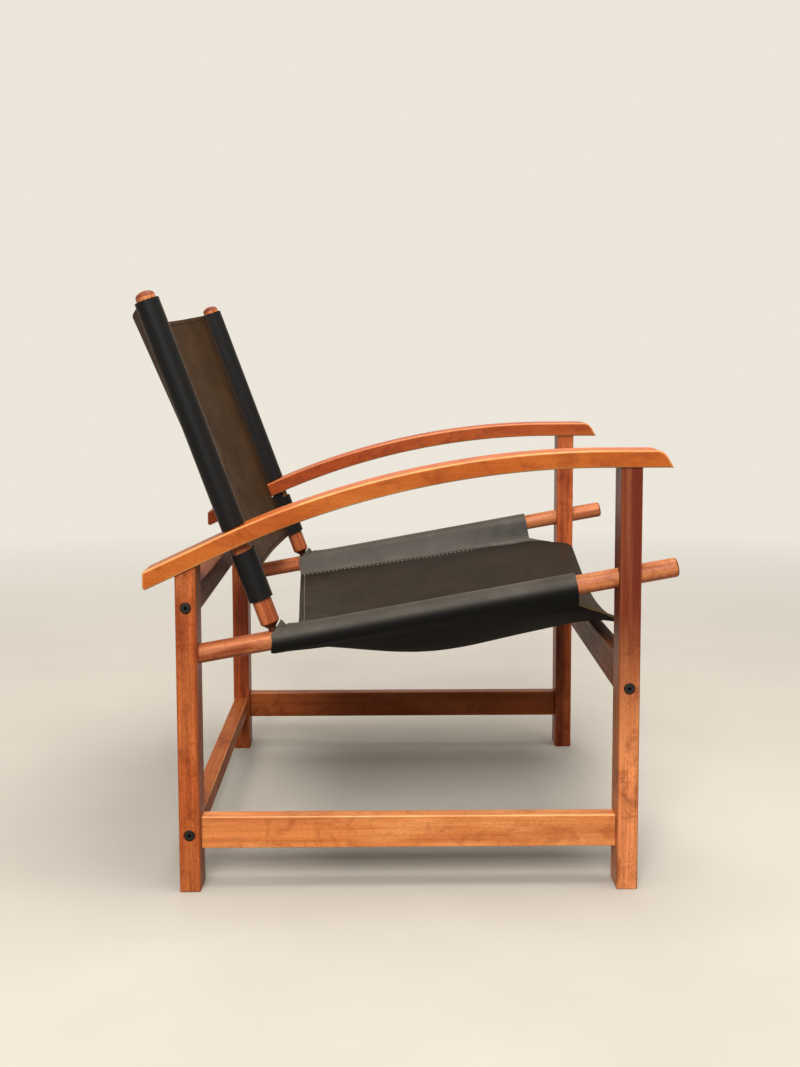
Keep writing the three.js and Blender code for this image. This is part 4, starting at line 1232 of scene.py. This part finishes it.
def make_back_sling(edge, tree, sockets):
    seam_y = SIDE_Y - BACK_RING - BACK_SEAM_LEAN
    # The back sheet's brown is the leather's dark tone with a painted reflection of warm surroundings
    tones = (*paints((14, 13, 13), (62, 40, 18)), seam_y)
    sleeve = leather_finish("leather_back_sleeve", *tones, shine=0.15, low=0.46, high=0.58, sheen=0.30)
    sheet = leather_finish("leather_back_sheet", *tones, shine=0.08, low=0.52, high=0.66)
    flesh = fibre_finish("leather_flesh_side", *paints((50, 34, 22), (84, 58, 38)), **LEATHER_FIBRES)
    thread = fibre_finish("thread_black", *paints((8, 7, 6), (16, 14, 12)), **THREAD_TWIST)
    rows = back_rows()
    back = make_sheet("back_leather", rows, seam_y, sleeve, edge, flesh, sheet, edge, flesh)
    cut_windows(back, edge)
    left, right = stitched_columns(rows, seam_y)
    lines = back_seam_lines(rows, left, right)
    for hem in (len(rows) - 1 - BACK_HEM_ROW, BACK_HEM_ROW):
        lines.append(hem_line(rows, hem, left, right, -POST_BEHIND))
    back_stitches = make_stitches("back_stitches", lines, thread, BACK_SEWING, tree, sockets)
    dress(smooth(back, SLING_CREASE), "frame", "leather", "back_sling")
    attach(back_stitches, "frame")


# Stage
FLOOR_REACH = 30
FLOOR_GRAIN = ((0.4, 0.4, 0.4), 5, 0.6)
FLOOR_FADE = (0.9, 3.2)
SKY_COLOUR = (1.0, 0.95, 0.88, 1)
SKY_STRENGTH = 0.24
LAMP_AIM = Vector((0, 0, 0.35))
LAMP_COLOUR = (1.0, 0.975, 0.94)
backdrop, floor_bounce = paints((236, 230, 219), (92, 87, 80))
floor_tones = paints((182, 176, 166), (188, 182, 172))

# Camera: distances on the picture in pixels, sensor in millimetres, place in metres and turns in degrees
PICTURE_HEIGHT = 1067
FOCAL_DISTANCE = 1340
CENTRE_SHIFT = -57.5
SENSOR_HEIGHT = 36
CAMERA_PLACE = (-0.0076, -2.0001, 0.6920)
CAMERA_TURNS = [("Z", -0.609), ("X", -5.371), ("Y", 0.135), ("X", 90)]


def shows_studio(tree):
    """1 for rays that show the studio, straight, mirrored or through a clear piece."""
    path = add_node(tree, "ShaderNodeLightPath").outputs
    seen = worked(tree, "MAXIMUM", path["Is Camera Ray"], path["Is Glossy Ray"])
    return worked(tree, "MAXIMUM", seen, path["Is Transmission Ray"])


def make_floor():
    """Pale floor that keeps the shadow near the chair and turns into the backdrop further out."""
    corners = [(x * FLOOR_REACH, y * FLOOR_REACH, 0) for x, y in ((-1, -1), (1, -1), (1, 1), (-1, 1))]
    floor = new_piece("floor", corners, [(0, 1, 2, 3)])
    finish, tree, shader = new_finish("floor_paint")
    grain = cells(tree, *FLOOR_GRAIN)
    pale = mixed(tree, ranged(tree, grain, 0.3, 0.7), *floor_tones)
    seen = shows_studio(tree)
    give(tree, shader, {
        "Base Color": mixed(tree, seen, floor_bounce, pale),
        "Roughness": 0.8,
        "Specular IOR Level": 0.2,
    })
    inputs = {0: object_coords(tree)}
    away = add_node(tree, "ShaderNodeVectorMath", inputs, operation="LENGTH").outputs["Value"]
    far = worked(tree, "MULTIPLY", ranged(tree, away, *FLOOR_FADE), seen)
    plain = add_node(tree, "ShaderNodeEmission", {"Color": backdrop, "Strength": 1.0}).outputs[0]
    both = add_node(tree, "ShaderNodeMixShader", {0: far, 1: shader.outputs[0], 2: plain}).outputs[0]
    give(tree, tree.get_output_node("ALL"), {"Surface": both})
    floor.data.materials.append(finish)


def make_world():
    """Soft light from all round, behind a plain backdrop."""
    world = bpy.data.worlds.new("studio")
    bpy.context.scene.world = world
    world.use_nodes = True
    tree = world.node_tree
    tree.nodes.clear()
    light = add_node(tree, "ShaderNodeBackground", {"Color": SKY_COLOUR, "Strength": SKY_STRENGTH})
    shown = add_node(tree, "ShaderNodeBackground", {"Color": backdrop, "Strength": 1.0})
    inputs = {0: shows_studio(tree), 1: light.outputs[0], 2: shown.outputs[0]}
    both = add_node(tree, "ShaderNodeMixShader", inputs)
    add_node(tree, "ShaderNodeOutputWorld", {"Surface": both.outputs[0]})


def make_lamps():
    for name, place, size, power, mirrored in [
        ("front", (-0.4, -4.2, 3.0), 2.0, 250, True),
        ("top", (0.2, -0.3, 3.2), 1.8, 105, True),
        ("behind", (-0.6, 3.8, 2.2), 2.4, 60, False),
    ]:
        lamp = bpy.data.lights.new(name, "AREA")
        lamp.size, lamp.energy, lamp.color = size, power, LAMP_COLOUR
        holder = add_object(name, lamp)
        holder.location = place
        holder.visible_glossy = mirrored
        holder.rotation_euler = (LAMP_AIM - Vector(place)).to_track_quat("-Z", "Y").to_euler()


def make_camera():
    lens = bpy.data.cameras.new("camera")
    lens.sensor_fit, lens.sensor_height = "VERTICAL", SENSOR_HEIGHT
    lens.lens = FOCAL_DISTANCE / PICTURE_HEIGHT * SENSOR_HEIGHT
    lens.shift_y = CENTRE_SHIFT / PICTURE_HEIGHT
    camera = add_object("camera", lens)
    place = Matrix.Translation(CAMERA_PLACE)
    for axis, degrees in CAMERA_TURNS:
        place = place @ Matrix.Rotation(math.radians(degrees), 4, axis)
    camera.matrix_world = place
    bpy.context.scene.camera = camera
    bpy.context.scene.view_settings.view_transform = "Standard"


# The chair, piece by piece, and its stage
bright_steel = steel_finish("steel_bright", *paints((150, 150, 150), (196, 196, 194)), low=0.25, high=0.42)
dowel_beech = beech_finish("dowels", ALONG_Y, (0, 0, 0), *dowel_tones)
for name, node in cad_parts.items():
    if "barrel_nut" in name or "dowel" in name:
        node.data.materials.clear()
        node.data.materials.append(bright_steel if "nut" in name else dowel_beech)

# Each piece takes its figure from another place, which its seed sets
# The far legs' darker tones are painted shade
leg_stains_and_painted_shade = {"right": (leg_tones, fading_leg_tones), "left": (far_leg_painted_shade_tones, far_leg_painted_shade_tones)}
for seed, (side, side_y, inward) in enumerate(SIDES, 1):
    rear_tones, front_tones = leg_stains_and_painted_shade[side]
    make_leg("rear", side, side_y, inward, 0, rear_tones, 0.37 * seed)
    make_leg("front", side, side_y, inward, FRONT_LEG_X, front_tones, 0.91 * seed)
    make_armrest(side, side_y, 0.53 * seed)
    make_stretcher(side, side_y, 0.29 * seed)
    make_rail(side, side_y, 0.67 * seed)
    make_post(side, side_y, 0.43 * seed)

black_steel = steel_finish("steel_blackened", *paints((34, 32, 31), (62, 60, 58)), low=0.36, high=0.52)
# Painted shade: near-black steel for the inside of the bolts' hex sockets
socket_shade_steel = steel_finish("steel_socket", *paints((8, 8, 8), (16, 15, 14)), low=0.5, high=0.7)
for cross in CROSS_PIECES:
    make_cross_piece(cross)
    for side, side_y, inward in SIDES:
        make_bolt(cross, side, side_y, inward, black_steel, socket_shade_steel)

cut_edge = fibre_finish("leather_cut_edge", *paints((50, 38, 26), (112, 88, 58)), **LEATHER_FIBRES)
stitches = stitch_tree()
make_seat_sling(cut_edge, *stitches)
make_back_sling(cut_edge, *stitches)

make_floor()
make_world()
make_lamps()
make_camera()
